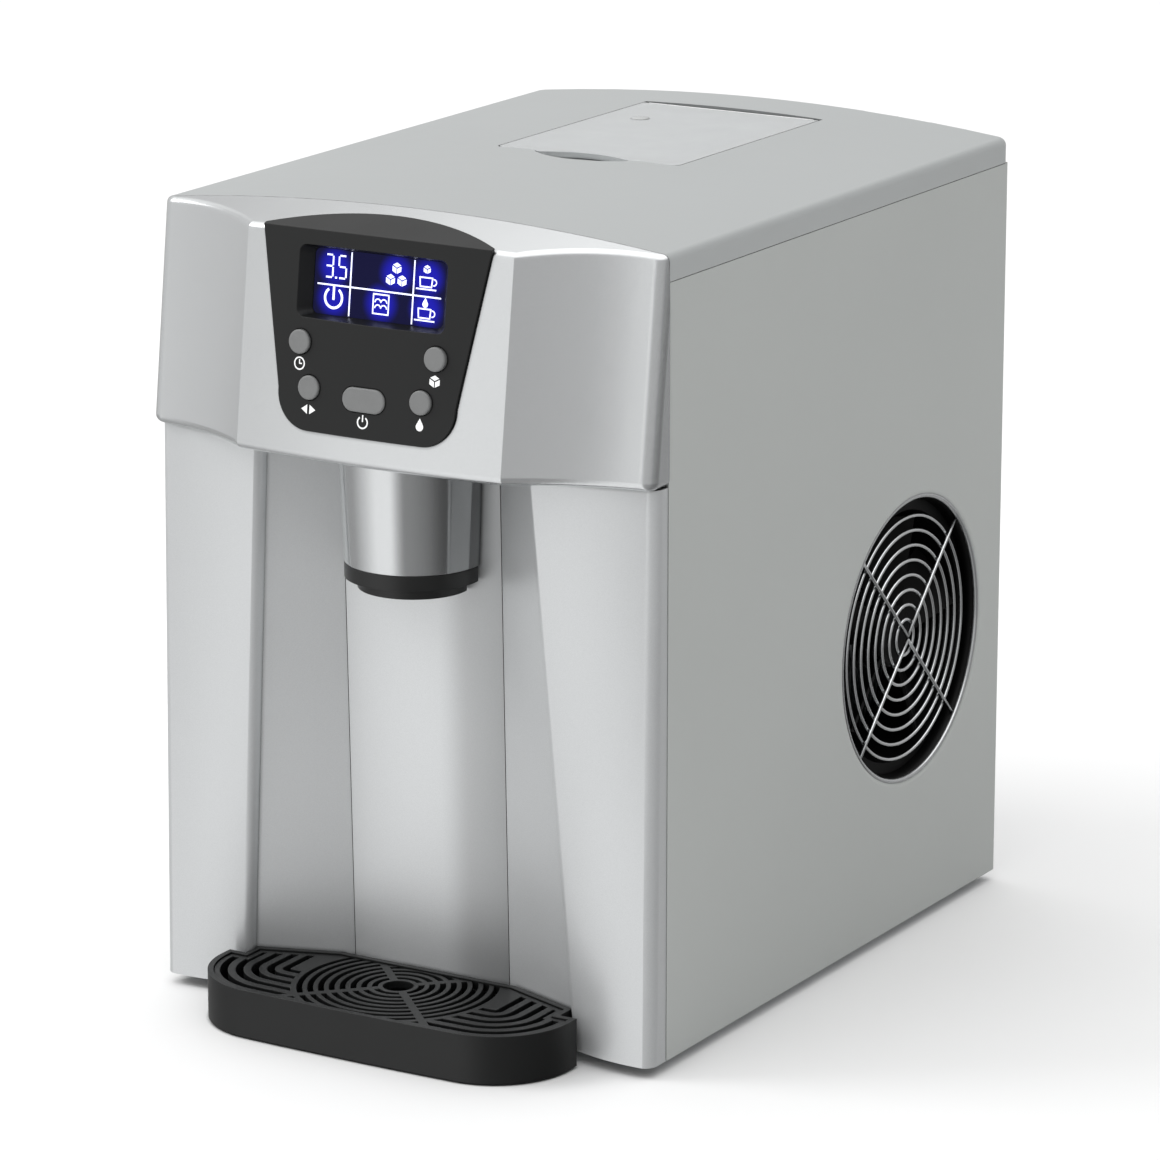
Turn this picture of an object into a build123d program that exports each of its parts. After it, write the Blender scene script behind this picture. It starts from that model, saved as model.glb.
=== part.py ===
from build123d import *
import os
from math import hypot, sqrt

# Countertop ice cube maker with an ice and water spout.
# X runs to the right, Y to the back and Z up. The origin is the middle of the footprint, on the worktop.
# The seam is the upright plane where the side panels end and the moulded front begins.

# Overall sizes, millimetres
body_width = 289.0
body_depth = 358.0
head_side_lap = 0.5
tray_reach = 66.5
foot_height = 6.0
panel_top = 396.0
cover_edge_z = 409.0
crown_z = 417.5
sheet = 1.2
plastic_wall = 2.5
thin_wall = 2.0
fit_gap = 0.3
running_gap = 0.08
overrun = 5.0

# Case screws
screw_head_r = 3.4
screw_head_height = 1.3
screw_recess_r = 1.6
screw_recess_depth = 0.7
screw_rows = 4

total_depth = tray_reach + body_depth + screw_head_height
seam_y = tray_reach - total_depth / 2
rear_y = seam_y + body_depth
panel_half = body_width / 2
inner_half = panel_half - sheet
head_half = panel_half + head_side_lap

# Sheet-metal case
panel_bend_r = 3.0
front_flange = 10.0
rear_flange = 13.0
rear_panel_y = rear_y - sheet
rear_inner_y = rear_panel_y - sheet
base_lip = 10.0
base_thick = 2.0
base_corner_r = 6.0
louvre_count = 9
louvre_pitch = 13.0
louvre_length = 92.0
louvre_height = 5.0
louvre_bottom_z = 120.0
louvre_offset = 62.0
service_inset = 62.5
service_width = 106.0
service_low_z = 17.0
service_high_z = 82.0
service_depth = 10.0
service_corner_r = 5.0
service_x = service_inset - panel_half
service_floor_y = rear_panel_y - service_depth

# Top cover and lid
cover_edge_r = 4.0
cover_corner_r = 6.0
cover_lip = 9.0
lid_width = 106.6
lid_front = 165.0
lid_back_margin = 40.0
lid_depth = body_depth - lid_front - lid_back_margin
lid_thick = 3.0
lid_gap = 0.6
lid_hinge_gap = 1.0
lid_ledge = 4.5
lid_corner_r = 4.0
lid_barrel_length = 9.0
lid_barrel_inset = 8.0
lid_pin_r = 1.2
lid_pin_seat = 2.0
lid_rim_height = 4.0
lid_rim_inset = 8.0
lid_rim_wall = 2.0
throat_drop = 12.0
scoop_width = 70.0
scoop_reach = 16.0
scoop_depth = 9.0
notch_reach = 7.0

# Head: the moulded upper front
head_bottom = 296.5
head_front = 46.8
crease_x = 76.0
crease_front = 42.3
wing_mid_share = (0.6759, 0.637)
wing_end_share = (0.9517, 0.380)
corner_mid_share = (0.9876, 0.329)
corner_end_front = 10.8
head_lean_share = 0.125
brow_slope_share = 0.28
head_edge_r = 4.0
form_back = 22.0
tongue_half = 70.0
tongue_back = 11.0

# Control panel
bezel_proud = 1.5
bezel_gap = 0.25
bezel_top_half = 65.5
bezel_roof_half = 67.5
bezel_bend_half = 51.0
bezel_bend_z = 331.0
bezel_floor_half = 32.0
bezel_floor_z = 311.5
bezel_top_z = 409.0
bezel_corner_mid_x = 47.0
bezel_corner_mid_z = 318.5
bezel_roof_front = 30.0
bezel_roof_back = 12.0
recess_width = 87.0
recess_height = 36.0
recess_mid_z = 384.0
recess_corner_r = 5.0
recess_taper = 6.2
recess_taper_low = 2.0
lens_width = 76.0
lens_height = 33.0
lens_thick = 1.4
lens_depth = 6.5
lens_gap = 0.2
module_thick = 2.8
board_width = 98.0
board_height = 86.0
board_thick = 1.6
board_mid_z = 359.0
button_r = 6.0
button_gap = 0.35
button_proud = 2.4
button_crown_r = 1.0
button_flange = 1.3
button_flange_thick = 1.0
button_travel = 1.2
button_gap_back = 0.45
button_wide_half = 12.2
upper_button_x = 38.8
upper_button_z = 354.4
lower_button_x = 32.0
lower_button_z = 332.8
power_button_z = 330.2
switch_size = 6.0
switch_gap = 0.4

# Lower front: two pillars and the niche between them
front_top = head_bottom - fit_gap
pillar_wall = 2.5
pillar_side_front = 4.0
niche_back_top = 6.0
niche_back_foot = 14.1
pillar_top_shares = (
    (0.9882, 0.1752),
    (0.9585, 0.2265),
    (0.7612, 0.3889),
    (0.5536, 0.4487),
    (0.5343, 0.3974),
    (0.5301, 0.2991),
)
pillar_foot_shares = (
    (0.9910, 0.2628),
    (0.9661, 0.3226),
    (0.8277, 0.3056),
    (0.6913, 0.2073),
    (0.6706, 0.1688),
    (0.6637, 0.0833),
)
foot_side_front = 7.0
column_gap = 0.4
column_bulge = 2.2
column_wall = 2.0
column_seam_x = 46.2

# Spout and ice chute
spout_y = seam_y
shroud_top_r = 37.2
shroud_bottom_r = 34.6
shroud_bottom_z = 241.8
shroud_wall = 2.0
shroud_flange = 4.0
shroud_flange_thick = 1.6
collar_r = 34.6
collar_height = 7.6
nozzle_r = 28.1
nozzle_inner_r = 25.0
nozzle_bottom_z = 228.2
nozzle_back = 4.4
nozzle_flare_r = 31.8
nozzle_flare_z = 245.0
chute_bottom_z = 256.0
chute_half = 23.6
chute_wall = 1.6
chute_back = 2.8
chute_corner_r = 6.0
flap_gap = 0.4
flap_thick = 1.6
flap_pin_r = 1.5
flap_z = 305.0
flap_motor_width = 20.0
flap_motor_depth = 22.0
flap_motor_height = 17.0
outlet_r = 3.5
outlet_inner_r = 2.4
outlet_z = 250.0
outlet_y = -2.5
outlet_tip_z = 232.0
outlet_back = 34.0

# Ice bin, its foam and the auger
bin_half = 70.0
bin_front = 50.0
bin_back_margin = 32.0
bin_back = body_depth - bin_back_margin
bin_wall = 2.0
bin_top_z = 404.1
bin_shoulder_z = 352.0
auger_z = 330.0
auger_r = 20.0
auger_shaft_r = 4.0
auger_pitch = 38.0
auger_flight_thick = 3.0
auger_lane_r = 22.0
auger_front = -19.0
auger_boss_r = 7.0
auger_boss_back = -13.0
auger_flight_front = 6.0
auger_flight_margin = 8.0
auger_flight_back = bin_back - auger_flight_margin
tube_wall = 1.6
tube_front = -20.0
tube_flange = 4.0
tube_flange_thick = 2.0
foam_half = 84.0
foam_cover = 10.0
foam_front = bin_front - foam_cover
foam_back = bin_back + foam_cover
foam_bottom_z = 290.0
foam_top_z = 348.0
auger_motor_r = 27.0
auger_motor_depth = 17.0
auger_socket_depth = 10.0

# Evaporator and its tilting water tray
evaporator_y = 96.0
evaporator_z = 397.0
header_r = 5.0
header_half = 79.0
finger_r = 4.5
finger_count = 7
finger_pitch = 16.0
finger_length = 33.0
water_tray_axis_z = 378.0
water_tray_r = 22.0
water_tray_wall = 1.5
water_tray_half = 61.0
water_pin_r = 3.0
tray_motor_r = 12.5
tray_motor_depth = 14.0

# Inner frame on the base pan
shelf_half = 88.0
shelf_front = 38.0
shelf_back_margin = 12.0
shelf_back = body_depth - shelf_back_margin
shelf_thick = 1.5
leg_size = 12.0
leg_sheet = 1.5
leg_margin = 2.0
leg_front = shelf_front + leg_margin
leg_back = shelf_back - leg_margin

# Refrigeration and cooling air
vent_back_margin = 102.0
vent_y = body_depth - vent_back_margin
vent_z = 160.0
vent_r = 75.0
vent_lip_r = 4.0
vent_lip_depth = 8.0
vent_lip_taper = 2.0
guard_wire_r = 0.95
guard_ring_r = 64.5
guard_ring_pitch = 7.85
guard_ring_count = 8
guard_inset = 4.0
guard_x = panel_half - guard_inset
guard_tip_r = 3.2
shroud_ring_r = 73.6
shroud_ring_inner_r = 67.0
shroud_plate_inset = 44.5
shroud_plate_x = panel_half - shroud_plate_inset
shroud_plate_half = 75.0
shroud_plate_thick = 2.5
fan_r = 63.0
fan_hub_r = 17.0
fan_hub_depth = 15.0
fan_blade_count = 5
fan_blade_thick = 1.6
fan_root_angle = 48.0
fan_tip_angle = 28.0
fan_root_chord = 20.0
fan_tip_chord = 38.0
fan_axle_r = 2.0
fan_motor_r = 19.0
fan_motor_depth = 12.0
fan_strut = 6.0
fan_hub_gap = 1.0
fan_axle_reach = 10.0
condenser_reach = 24.0
condenser_front_x = shroud_plate_x - condenser_reach
condenser_half = 70.0
condenser_height_half = 72.0
condenser_rows = 5
condenser_end = 1.5
fin_pitch = 6.0
fin_thick = 1.2
fin_web = 3.0
condenser_bend_r = 2.5
compressor_inset = 66.5
compressor_x = compressor_inset - panel_half
compressor_y = 104.0
compressor_r = 47.0
compressor_height = 122.0
compressor_dome = 24.0
compressor_rim = 2.5
compressor_seam_share = 0.7
compressor_plate_x = 104.0
compressor_plate_y = 84.0
compressor_plate_thick = 3.0
bush_r = 7.0
bush_height = 9.0
bush_inset = 11.0
drier_r = 8.0
drier_length = 62.0
drier_neck_r = 3.0
drier_neck = 12.0
line_r = 2.5

# Water tank, pump and level float
tank_side_gap = 6.5
tank_left = tank_side_gap - panel_half
tank_right = -12.0
tank_front = 172.0
tank_back_margin = 30.0
tank_back = body_depth - tank_back_margin
tank_top_z = 168.0
tank_wall = 2.0
tank_corner_r = 8.0
drain_x = -45.0
drain_z = 30.0
pump_port_z = 20.0
drain_r = 8.0
drain_bore_r = 6.0
plug_head_r = 10.0
plug_head_thick = 4.0
plug_grip = 4.0
plug_grip_share = 0.8
plug_stem = 14.0
float_x = -40.0
float_inset = 43.0
float_y = tank_front + float_inset
float_r = 14.0
float_height = 20.0
float_stem_r = 3.0
float_stem_foot_r = 9.0
float_stem_foot = 3.0
float_travel = 90.0
pump_x = 26.0
pump_back_margin = 76.0
pump_y = body_depth - pump_back_margin
pump_r = 19.0
pump_length = 42.0
pump_base = 8.0
hose_r = 4.0
hose_bend_r = 18.0

# Electrical parts
carrier_inset = 26.5
carrier_x = panel_half - carrier_inset
carrier_front = 30.0
carrier_vent_gap = 31.0
carrier_back = vent_y - vent_r - carrier_vent_gap
carrier_top_z = 176.0
carrier_thick = 2.5
main_board_gap = 4.0
main_board_low_z = 46.0
board_margin = 8.0
board_hole_inset = 12.0
relay_drop = 40.0
relay_height = 24.0
relay_length = 12.5
relay_width = 16.0
relay_place_shares = (0.2, 0.4, 0.6)
transformer_rise = 24.0
transformer_height = 24.0
transformer_length = 29.1
transformer_width = 32.0
transformer_place_share = 0.2
capacitor_r = 8.0
capacitor_place_shares = (0.64, 0.84)
inlet_inset = 27.5
inlet_x = inlet_inset - panel_half
inlet_z = 50.0
inlet_flange_width = 28.0
inlet_flange_height = 50.0
inlet_flange_thick = 2.5
inlet_body_width = 20.0
inlet_body_height = 27.0
inlet_body_depth = 15.0
inlet_well = 12.0
inlet_pin_spread = 3.0
inlet_pin_rise = 4.0

# Drip tray and grille
tray_wing = 3.1
tray_half = pillar_foot_shares[3][0] * panel_half + tray_wing
tray_bow = 0.9
tray_corner_r = 42.5
tray_top_z = 25.5
tray_floor_z = 1.0
tray_floor = 2.5
tray_wall = 3.0
tray_ledge = 2.5
tray_shoulder_front = 16.2
tray_side_gap = 2.5
tray_niche_half = pillar_foot_shares[5][0] * panel_half - tray_side_gap
tray_niche_front = 5.0
tray_inner_half = 46.0
tray_inner_back = 11.9
tray_back = 10.0
tray_pad_r = 6.0
tray_tongue_half = 30.0
tray_tongue_back = 34.0
tray_tongue_thick = 3.0
grille_thick = 4.0
grille_sink = 0.8
grille_gap = 0.4
grille_rim = 2.8
grille_centre_front = 18.0
grille_hole_r = 7.8
grille_ring_pitch = 5.4
grille_ring_bar = 2.4
grille_ring_count = 8
grille_spoke = 4.0
grille_row_pitch = 7.9
grille_row_bar = 3.9
grille_row_count = 5
grille_field_gap = 3.0

# Feet
foot_r = 11.0
foot_tip_r = 9.0
foot_inset = 26.0
foot_front = 36.0

base_floor_z = foot_height + base_thick


def offset_path(nodes, amount):
    """Moves an open path of (x, y, is_arc_middle) nodes to its left by the amount."""
    moved = []
    last = len(nodes) - 1
    for i, (x, y, mid) in enumerate(nodes):
        normals = []
        for a, b in ((i - 1, i), (i, i + 1)):
            if a >= 0 and b <= last:
                dx = nodes[b][0] - nodes[a][0]
                dy = nodes[b][1] - nodes[a][1]
                length = hypot(dx, dy)
                normals.append((-dy / length, dx / length))
        first = normals[0]
        second = normals[-1]
        sum_x = first[0] + second[0]
        sum_y = first[1] + second[1]
        size = hypot(sum_x, sum_y)
        reach = amount / ((sum_x * first[0] + sum_y * first[1]) / size)
        moved.append((x + sum_x / size * reach, y + sum_y / size * reach, mid))
    return moved


def mirrored_path(half):
    """Completes a path whose right half starts on the middle plane."""
    left = [(-x, y, mid) for x, y, mid in reversed(half[1:])]
    return left + half


def path_face(nodes, z, shift_y):
    """Closes a path of lines and arcs into a level face."""
    points = [(x, y + shift_y, z) for x, y, mid in nodes]
    edges = []
    i = 0
    while i < len(nodes) - 1:
        if nodes[i + 1][2]:
            edges.append(ThreePointArc(points[i], points[i + 1], points[i + 2]))
            i += 2
        else:
            edges.append(Line(points[i], points[i + 1]))
            i += 1
    edges.append(Line(points[-1], points[0]))
    return make_face(edges)


def block(x0, x1, y0, y1, z0, z1):
    """Box between two corners."""
    middle = ((x0 + x1) / 2, (y0 + y1) / 2, (z0 + z1) / 2)
    return Pos(*middle) * Box(x1 - x0, y1 - y0, z1 - z0)


def rod(start, direction, length, radius):
    """Cylinder from a point along a direction."""
    plane = Plane(origin=start, z_dir=direction)
    return plane * Cylinder(radius, length, align=(Align.CENTER, Align.CENTER, Align.MIN))


def pipe(start, direction, length, radius, bore):
    """Tube from a point along a direction."""
    return rod(start, direction, length, radius) - rod(start, direction, length, bore)


def rounded_plan(x0, x1, y0, y1, z, radius):
    """Level rectangle with round corners."""
    flat = RectangleRounded(x1 - x0, y1 - y0, radius)
    return Pos((x0 + x1) / 2, (y0 + y1) / 2, z) * flat


def rounded_block(x0, x1, y0, y1, z0, z1, radius):
    """Upright block with round vertical edges."""
    return extrude(rounded_plan(x0, x1, y0, y1, z0, radius), amount=z1 - z0, dir=(0, 0, 1))


def save(node, shape):
    """Writes one sub-part."""
    shape.label = node
    export_step(shape, "parts/" + node + ".step")


# Sheet-metal case

def side_panel(side):
    """Painted steel side with bent front and rear flanges."""
    outer = side * panel_half
    inner = side * inner_half
    front_tip = side * (panel_half - front_flange)
    rear_tip = side * (panel_half - rear_flange)
    points = [
        (outer, seam_y), (outer, rear_y), (rear_tip, rear_y), (rear_tip, rear_y - sheet),
        (inner, rear_y - sheet), (inner, seam_y + sheet), (front_tip, seam_y + sheet), (front_tip, seam_y),
    ]
    profile = make_face(Polyline(*[(x, y, foot_height) for x, y in points], close=True))
    outer_corner = profile.vertices().sort_by_distance((outer, rear_y, foot_height))[0]
    profile = fillet(outer_corner, panel_bend_r)
    inner_corner = profile.vertices().sort_by_distance((inner, rear_y - sheet, foot_height))[0]
    profile = fillet(inner_corner, panel_bend_r - sheet)
    return extrude(profile, amount=panel_top - foot_height, dir=(0, 0, 1))


def vent_lip(radius, depth, thickness):
    """Sheet pressed inwards round the fan opening, turned about the fan axis."""
    face_r = radius + vent_lip_r
    outer_x = panel_half
    turn_share = sqrt(0.5)
    outer_mid = (face_r - vent_lip_r * turn_share, vent_lip_r - vent_lip_r * turn_share)
    bend_r = vent_lip_r - thickness
    inner_mid = (face_r - bend_r * turn_share, vent_lip_r - bend_r * turn_share)
    y_axis = seam_y + vent_y
    tip_r = radius - vent_lip_taper

    def at(r, inwards):
        return (outer_x - inwards, y_axis + r, vent_z)

    edges = [
        ThreePointArc(at(face_r, 0), at(*outer_mid), at(radius, vent_lip_r)),
        Line(at(radius, vent_lip_r), at(tip_r, depth)),
        Line(at(tip_r, depth), at(tip_r + thickness, depth)),
        Line(at(tip_r + thickness, depth), at(radius + thickness, vent_lip_r)),
        ThreePointArc(at(radius + thickness, vent_lip_r), at(*inner_mid), at(face_r, thickness)),
        Line(at(face_r, thickness), at(face_r, 0)),
    ]
    axis = Axis((outer_x, y_axis, vent_z), (1, 0, 0))
    return revolve(make_face(edges), axis, 360)


def right_panel():
    """Right side with the pressed fan opening."""
    hole = rod((0, seam_y + vent_y, vent_z), (1, 0, 0), body_width, vent_r + vent_lip_r)
    return side_panel(1) - hole + vent_lip(vent_r, vent_lip_depth, sheet)


def rear_panel():
    """Steel back with pressed louvres and the recess for the supply and the drain."""
    half = inner_half - fit_gap - (panel_bend_r - sheet)
    panel = block(-half, half, rear_inner_y, rear_panel_y, base_floor_z + fit_gap, panel_top)
    x0 = service_x - service_width / 2
    x1 = service_x + service_width / 2
    pocket = block(x0, x1, service_floor_y - sheet, rear_panel_y, service_low_z, service_high_z)
    hollow = block(x0 + sheet, x1 - sheet, service_floor_y, rear_panel_y + overrun,
                   service_low_z + sheet, service_high_z - sheet)
    upright = pocket.edges().filter_by(Axis.Y)
    pocket = fillet(upright, service_corner_r)
    hollow = fillet(hollow.edges().filter_by(Axis.Y), service_corner_r - sheet)
    panel = panel + pocket - hollow
    for side in (-1, 1):
        for row in range(louvre_count):
            z = louvre_bottom_z + row * louvre_pitch
            panel -= louvre_slot(side * louvre_offset, z)
    panel -= rod((drain_x, service_floor_y - overrun, drain_z), (0, 1, 0), service_depth, drain_r + fit_gap)
    panel -= block(inlet_x - inlet_body_width / 2 - fit_gap, inlet_x + inlet_body_width / 2 + fit_gap,
                   service_floor_y - overrun, service_floor_y + sheet,
                   inlet_z - inlet_body_height / 2 - fit_gap, inlet_z + inlet_body_height / 2 + fit_gap)
    return panel


def louvre_slot(x, z):
    """Round-ended air slot."""
    slot = Plane.XZ * SlotOverall(louvre_length, louvre_height)
    return Pos(x, rear_panel_y + overrun, z) * extrude(slot, amount=sheet + 2 * overrun)


def base_pan():
    """Steel pan with raised lips and low pads under the compressor bushes."""
    half = inner_half - fit_gap
    front = seam_y + sheet + fit_gap
    back = rear_inner_y - fit_gap
    pan = rounded_block(-half, half, front, back, foot_height, foot_height + base_lip, base_corner_r)
    notch_x = pillar_split_x() + fit_gap
    notch_y = seam_y + niche_back_foot + 2 * pillar_wall + fit_gap
    pan -= block(-notch_x, notch_x, front - overrun, notch_y, 0, panel_top)
    well = rounded_block(-half + base_thick, half - base_thick, front + base_thick, back - base_thick,
                         base_floor_z, foot_height + base_lip + overrun, base_corner_r - base_thick)
    pan -= well - block(-notch_x - base_thick, notch_x + base_thick, front - overrun, notch_y + base_thick,
                        0, panel_top)
    for x, y in foot_places():
        pan -= rod((x, y, 0), (0, 0, 1), base_floor_z + overrun, screw_recess_r)
    return pan


def foot_places():
    """Centres of the four feet."""
    x = panel_half - foot_inset
    return [(sx * x, y) for sx in (-1, 1) for y in (seam_y + foot_front, rear_y - foot_inset)]


def rubber_feet():
    """Four moulded feet, each with a recess for its screw."""
    feet = []
    for x, y in foot_places():
        foot = Pos(x, y, foot_height / 2) * Cone(foot_tip_r, foot_r, foot_height)
        feet.append(foot - rod((x, y, -overrun), (0, 0, 1), overrun + foot_height / 2, foot_tip_r / 2))
    return Compound(children=feet)


def screw(x, z):
    """Pan-head screw on the rear flange, with a round driver hollow."""
    y = rear_y
    head = rod((x, y, z), (0, 1, 0), screw_head_height, screw_head_r)
    return head - rod((x, y + screw_head_height - screw_recess_depth, z), (0, 1, 0),
                      screw_recess_depth + overrun, screw_recess_r)


def case_screws():
    """Screws down both rear flanges."""
    x = panel_half - rear_flange / 2 - panel_bend_r / 2
    span = panel_top - foot_height - 2 * rear_flange
    heights = [foot_height + rear_flange + span * i / (screw_rows - 1) for i in range(screw_rows)]
    return Compound(children=[screw(side * x, z) for side in (-1, 1) for z in heights])


# Top cover and lid

def crown_face(inset, y, low_z):
    """Section of the crowned top, seen from the front."""
    half = head_half - inset
    edge = cover_edge_z - inset
    top = crown_z - inset
    return make_face([
        Line((-half, y, low_z), (half, y, low_z)),
        Line((half, y, low_z), (half, y, edge)),
        ThreePointArc((half, y, edge), (0, y, top), (-half, y, edge)),
        Line((-half, y, edge), (-half, y, low_z)),
    ])


def cover_form(inset, low_z, back):
    """Crowned block that the top cover is hollowed from."""
    half = panel_half - inset
    plan = rounded_block(-half, half, seam_y - cover_corner_r, back, low_z, crown_z + overrun,
                         cover_corner_r - min(inset, cover_corner_r / 2))
    crown = extrude(crown_face(inset, seam_y + fit_gap, low_z), amount=body_depth + overrun, dir=(0, 1, 0))
    return plan & crown


def top_cover():
    """Crowned plastic cover with the lid opening, its ledge and the finger scoop."""
    low = panel_top + fit_gap
    form = cover_form(0, low, rear_y)
    ridge = form.edges().filter_by(lambda e: e.center().Z > panel_top + overrun
                                   and e.center().Y - seam_y > overrun)
    form = fillet(ridge, cover_edge_r)
    cover = form - cover_form(plastic_wall, low - overrun, rear_y - plastic_wall)
    cover += cover_lip_ring()
    top = lid_top_z()
    half = lid_width / 2
    front = seam_y + lid_front
    back = front + lid_depth
    throat = rounded_block(-half - lid_gap - plastic_wall, half + lid_gap + plastic_wall,
                           front - lid_gap - plastic_wall, back + lid_hinge_gap + plastic_wall,
                           top - throat_drop, top - lid_thick, lid_corner_r + plastic_wall)
    scoop = scoop_form(
        scoop_reach + plastic_wall, scoop_width / 2 + plastic_wall, top - scoop_depth - plastic_wall,
    )
    cover += (throat + scoop) & cover_form(plastic_wall / 2, low - overrun, rear_y - plastic_wall)
    cover -= rounded_block(-half - lid_gap, half + lid_gap, front - lid_gap, back + lid_hinge_gap,
                           top - lid_thick - fit_gap, crown_z + overrun, lid_corner_r)
    cover -= block(-half + lid_ledge, half - lid_ledge, front + notch_reach + lid_gap, back - lid_ledge,
                   top - throat_drop - overrun, crown_z)
    cover -= scoop_form(scoop_reach, scoop_width / 2, top - scoop_depth)
    cover -= hinge_groove()
    for side in (-1, 1):
        cover -= lid_pin(side, lid_pin_r)
    return cover


def cover_lip_ring():
    """Lip under the cover that drops inside the panels."""
    half = inner_half - fit_gap
    back = rear_inner_y - fit_gap
    low = panel_top - cover_lip
    high = panel_top + 2 * plastic_wall
    front = seam_y + sheet + fit_gap
    outer = rounded_block(-half, half, front, back, low, high, base_corner_r)
    inner = rounded_block(-half + thin_wall, half - thin_wall, front - overrun, back - thin_wall,
                          low - overrun, high + overrun, base_corner_r - thin_wall)
    return outer - inner


def lid_top_z():
    """Level of the flat lid: where the crown passes its side edges."""
    rise = crown_z - cover_edge_z
    radius = (head_half ** 2 + rise ** 2) / (2 * rise)
    return crown_z - (radius - sqrt(radius ** 2 - (lid_width / 2) ** 2))


def lens_face(half_width, reach, y, z):
    """Level lens-shaped face that bulges to the front."""
    arc = ThreePointArc((-half_width, y, z), (0, y - reach, z), (half_width, y, z))
    return make_face([arc, Line((half_width, y, z), (-half_width, y, z))])


def scoop_form(reach, half_width, low_z):
    """Finger scoop in front of the lid."""
    y = seam_y + lid_front + overrun
    face = lens_face(half_width, reach + overrun, y, low_z)
    return extrude(face, amount=crown_z - low_z + overrun, dir=(0, 0, 1))


def hinge_y():
    """Line of the lid hinge."""
    return seam_y + lid_front + lid_depth - lid_thick


def hinge_groove():
    """Round trough in the ledge that the lid's rounded edge and barrels turn in, open at the top."""
    half = lid_width / 2 + lid_gap
    radius = lid_thick + lid_gap
    z = lid_top_z() - lid_thick
    trough = rod((-half, hinge_y(), z), (1, 0, 0), 2 * half, radius)
    return trough + block(-half, half, hinge_y(), hinge_y() + radius, z, crown_z + overrun)


def lid_pin(side, radius):
    """Steel pin from a seat in the side wall of the lid opening through the barrel."""
    x = side * (lid_width / 2 + lid_gap + lid_pin_seat)
    length = lid_pin_seat + lid_gap + lid_barrel_inset + lid_barrel_length
    return rod((x, hinge_y(), lid_top_z() - lid_thick), (-side, 0, 0), length, radius)


def lid_window():
    """Clear lid with a stiffening rim, a rounded hinge edge and two barrels."""
    top = lid_top_z()
    half = lid_width / 2
    front = seam_y + lid_front
    plate = rounded_block(-half, half, front, front + lid_depth, top - lid_thick, top, lid_corner_r)
    plate -= block(-half - overrun, half + overrun, hinge_y(), rear_y, foot_height, crown_z + overrun)
    edge = rod(
        (-half + lid_corner_r, hinge_y(), top - lid_thick), (1, 0, 0), lid_width - 2 * lid_corner_r,
        lid_thick,
    )
    edge &= block(-half, half, hinge_y(), rear_y, top - lid_thick, crown_z)
    rim_half = half - lid_rim_inset
    rim = rounded_block(-rim_half, rim_half, front + lid_rim_inset, hinge_y() - lid_rim_inset,
                        top - lid_thick - lid_rim_height, top - lid_thick, lid_corner_r)
    rim -= rounded_block(
        -rim_half + lid_rim_wall, rim_half - lid_rim_wall, front + lid_rim_inset + lid_rim_wall,
        hinge_y() - lid_rim_inset - lid_rim_wall, top - lid_thick - lid_rim_height - overrun,
        top - lid_thick, lid_corner_r - lid_rim_wall / 2,
    )
    lid = plate + edge + rim
    for side in (-1, 1):
        x = side * (lid_width / 2 - lid_barrel_inset)
        lid += rod((x, hinge_y(), top - lid_thick), (-side, 0, 0), lid_barrel_length, lid_thick)
        lid -= lid_pin(side, lid_pin_r + running_gap)
    notch = lens_face(
        scoop_width / 2 - lid_gap, 2 * notch_reach, front + notch_reach, top - lid_thick - overrun,
    )
    lens = extrude(
        mirror(notch, Plane(origin=(0, front, 0), z_dir=(0, 1, 0))), amount=3 * overrun, dir=(0, 0, 1),
    )
    return lid - lens


def lid_pins():
    """The two hinge pins."""
    return Compound(children=[lid_pin(side, lid_pin_r) for side in (-1, 1)])


# Head and control panel

def head_path():
    """Plan outline of the head at its bottom edge, from the left seam round to the right."""
    half = [
        (0, -head_front, True),
        (crease_x, -crease_front, False),
        (wing_mid_share[0] * head_half, -wing_mid_share[1] * head_front, True),
        (wing_end_share[0] * head_half, -wing_end_share[1] * head_front, False),
        (corner_mid_share[0] * head_half, -corner_mid_share[1] * head_front, True),
        (head_half, -corner_end_front, False),
        (head_half, form_back, False),
    ]
    return mirrored_path(half)


def head_form(inset, low_z, behind=0):
    """Leaning head block under the crown, set in on every side, reaching behind the seam if asked."""
    path = offset_path(head_path(), inset)
    high_z = crown_z + overrun
    body = loft([
        path_face(path, low_z, seam_y + head_lean_share * (low_z - head_bottom)),
        path_face(path, high_z, seam_y + head_lean_share * (high_z - head_bottom)),
    ], ruled=True)
    slope = Vector(0, -1, -brow_slope_share).normalized()
    face = Pos(0, behind, behind * brow_slope_share) * crown_face(inset, seam_y, foot_height)
    return body & extrude(face, amount=2 * head_front, dir=slope)


def off_seam(edge):
    """True for an edge that leaves the seam plane."""
    return max(seam_y - vertex.Y for vertex in edge.vertices()) > fit_gap


def head_shell():
    """Hollow head, open at the back, with its brow and its bottom edge rounded."""
    block_form = head_form(0, head_bottom)
    brow_z = cover_edge_z - head_front * brow_slope_share
    brow = [edge.center() for edge in block_form.edges()
            if edge.center().Z > brow_z and seam_y - edge.center().Y > head_edge_r / 2]
    shell = block_form - head_form(plastic_wall, head_bottom + plastic_wall, overrun)
    low = shell.edges().filter_by(lambda e: abs(e.center().Z - head_bottom) < fit_gap and off_seam(e))
    shell = fillet(low, head_edge_r)
    high = shell.edges().filter_by(lambda e: min((e.center() - c).length for c in brow) < head_edge_r / 4)
    return fillet(high, head_edge_r)


def head_fascia():
    """Moulded head with the panel pocket, the spout hole and a tongue over the column."""
    shell = head_shell() - shield_prism(0)
    shell += block(-tongue_half, tongue_half, seam_y - plastic_wall, seam_y + tongue_back,
                   head_bottom, head_bottom + plastic_wall)
    hole = rod((0, spout_y, head_bottom - overrun), (0, 0, 1), 2 * overrun, shroud_top_r + fit_gap)
    return shell - hole


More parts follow.
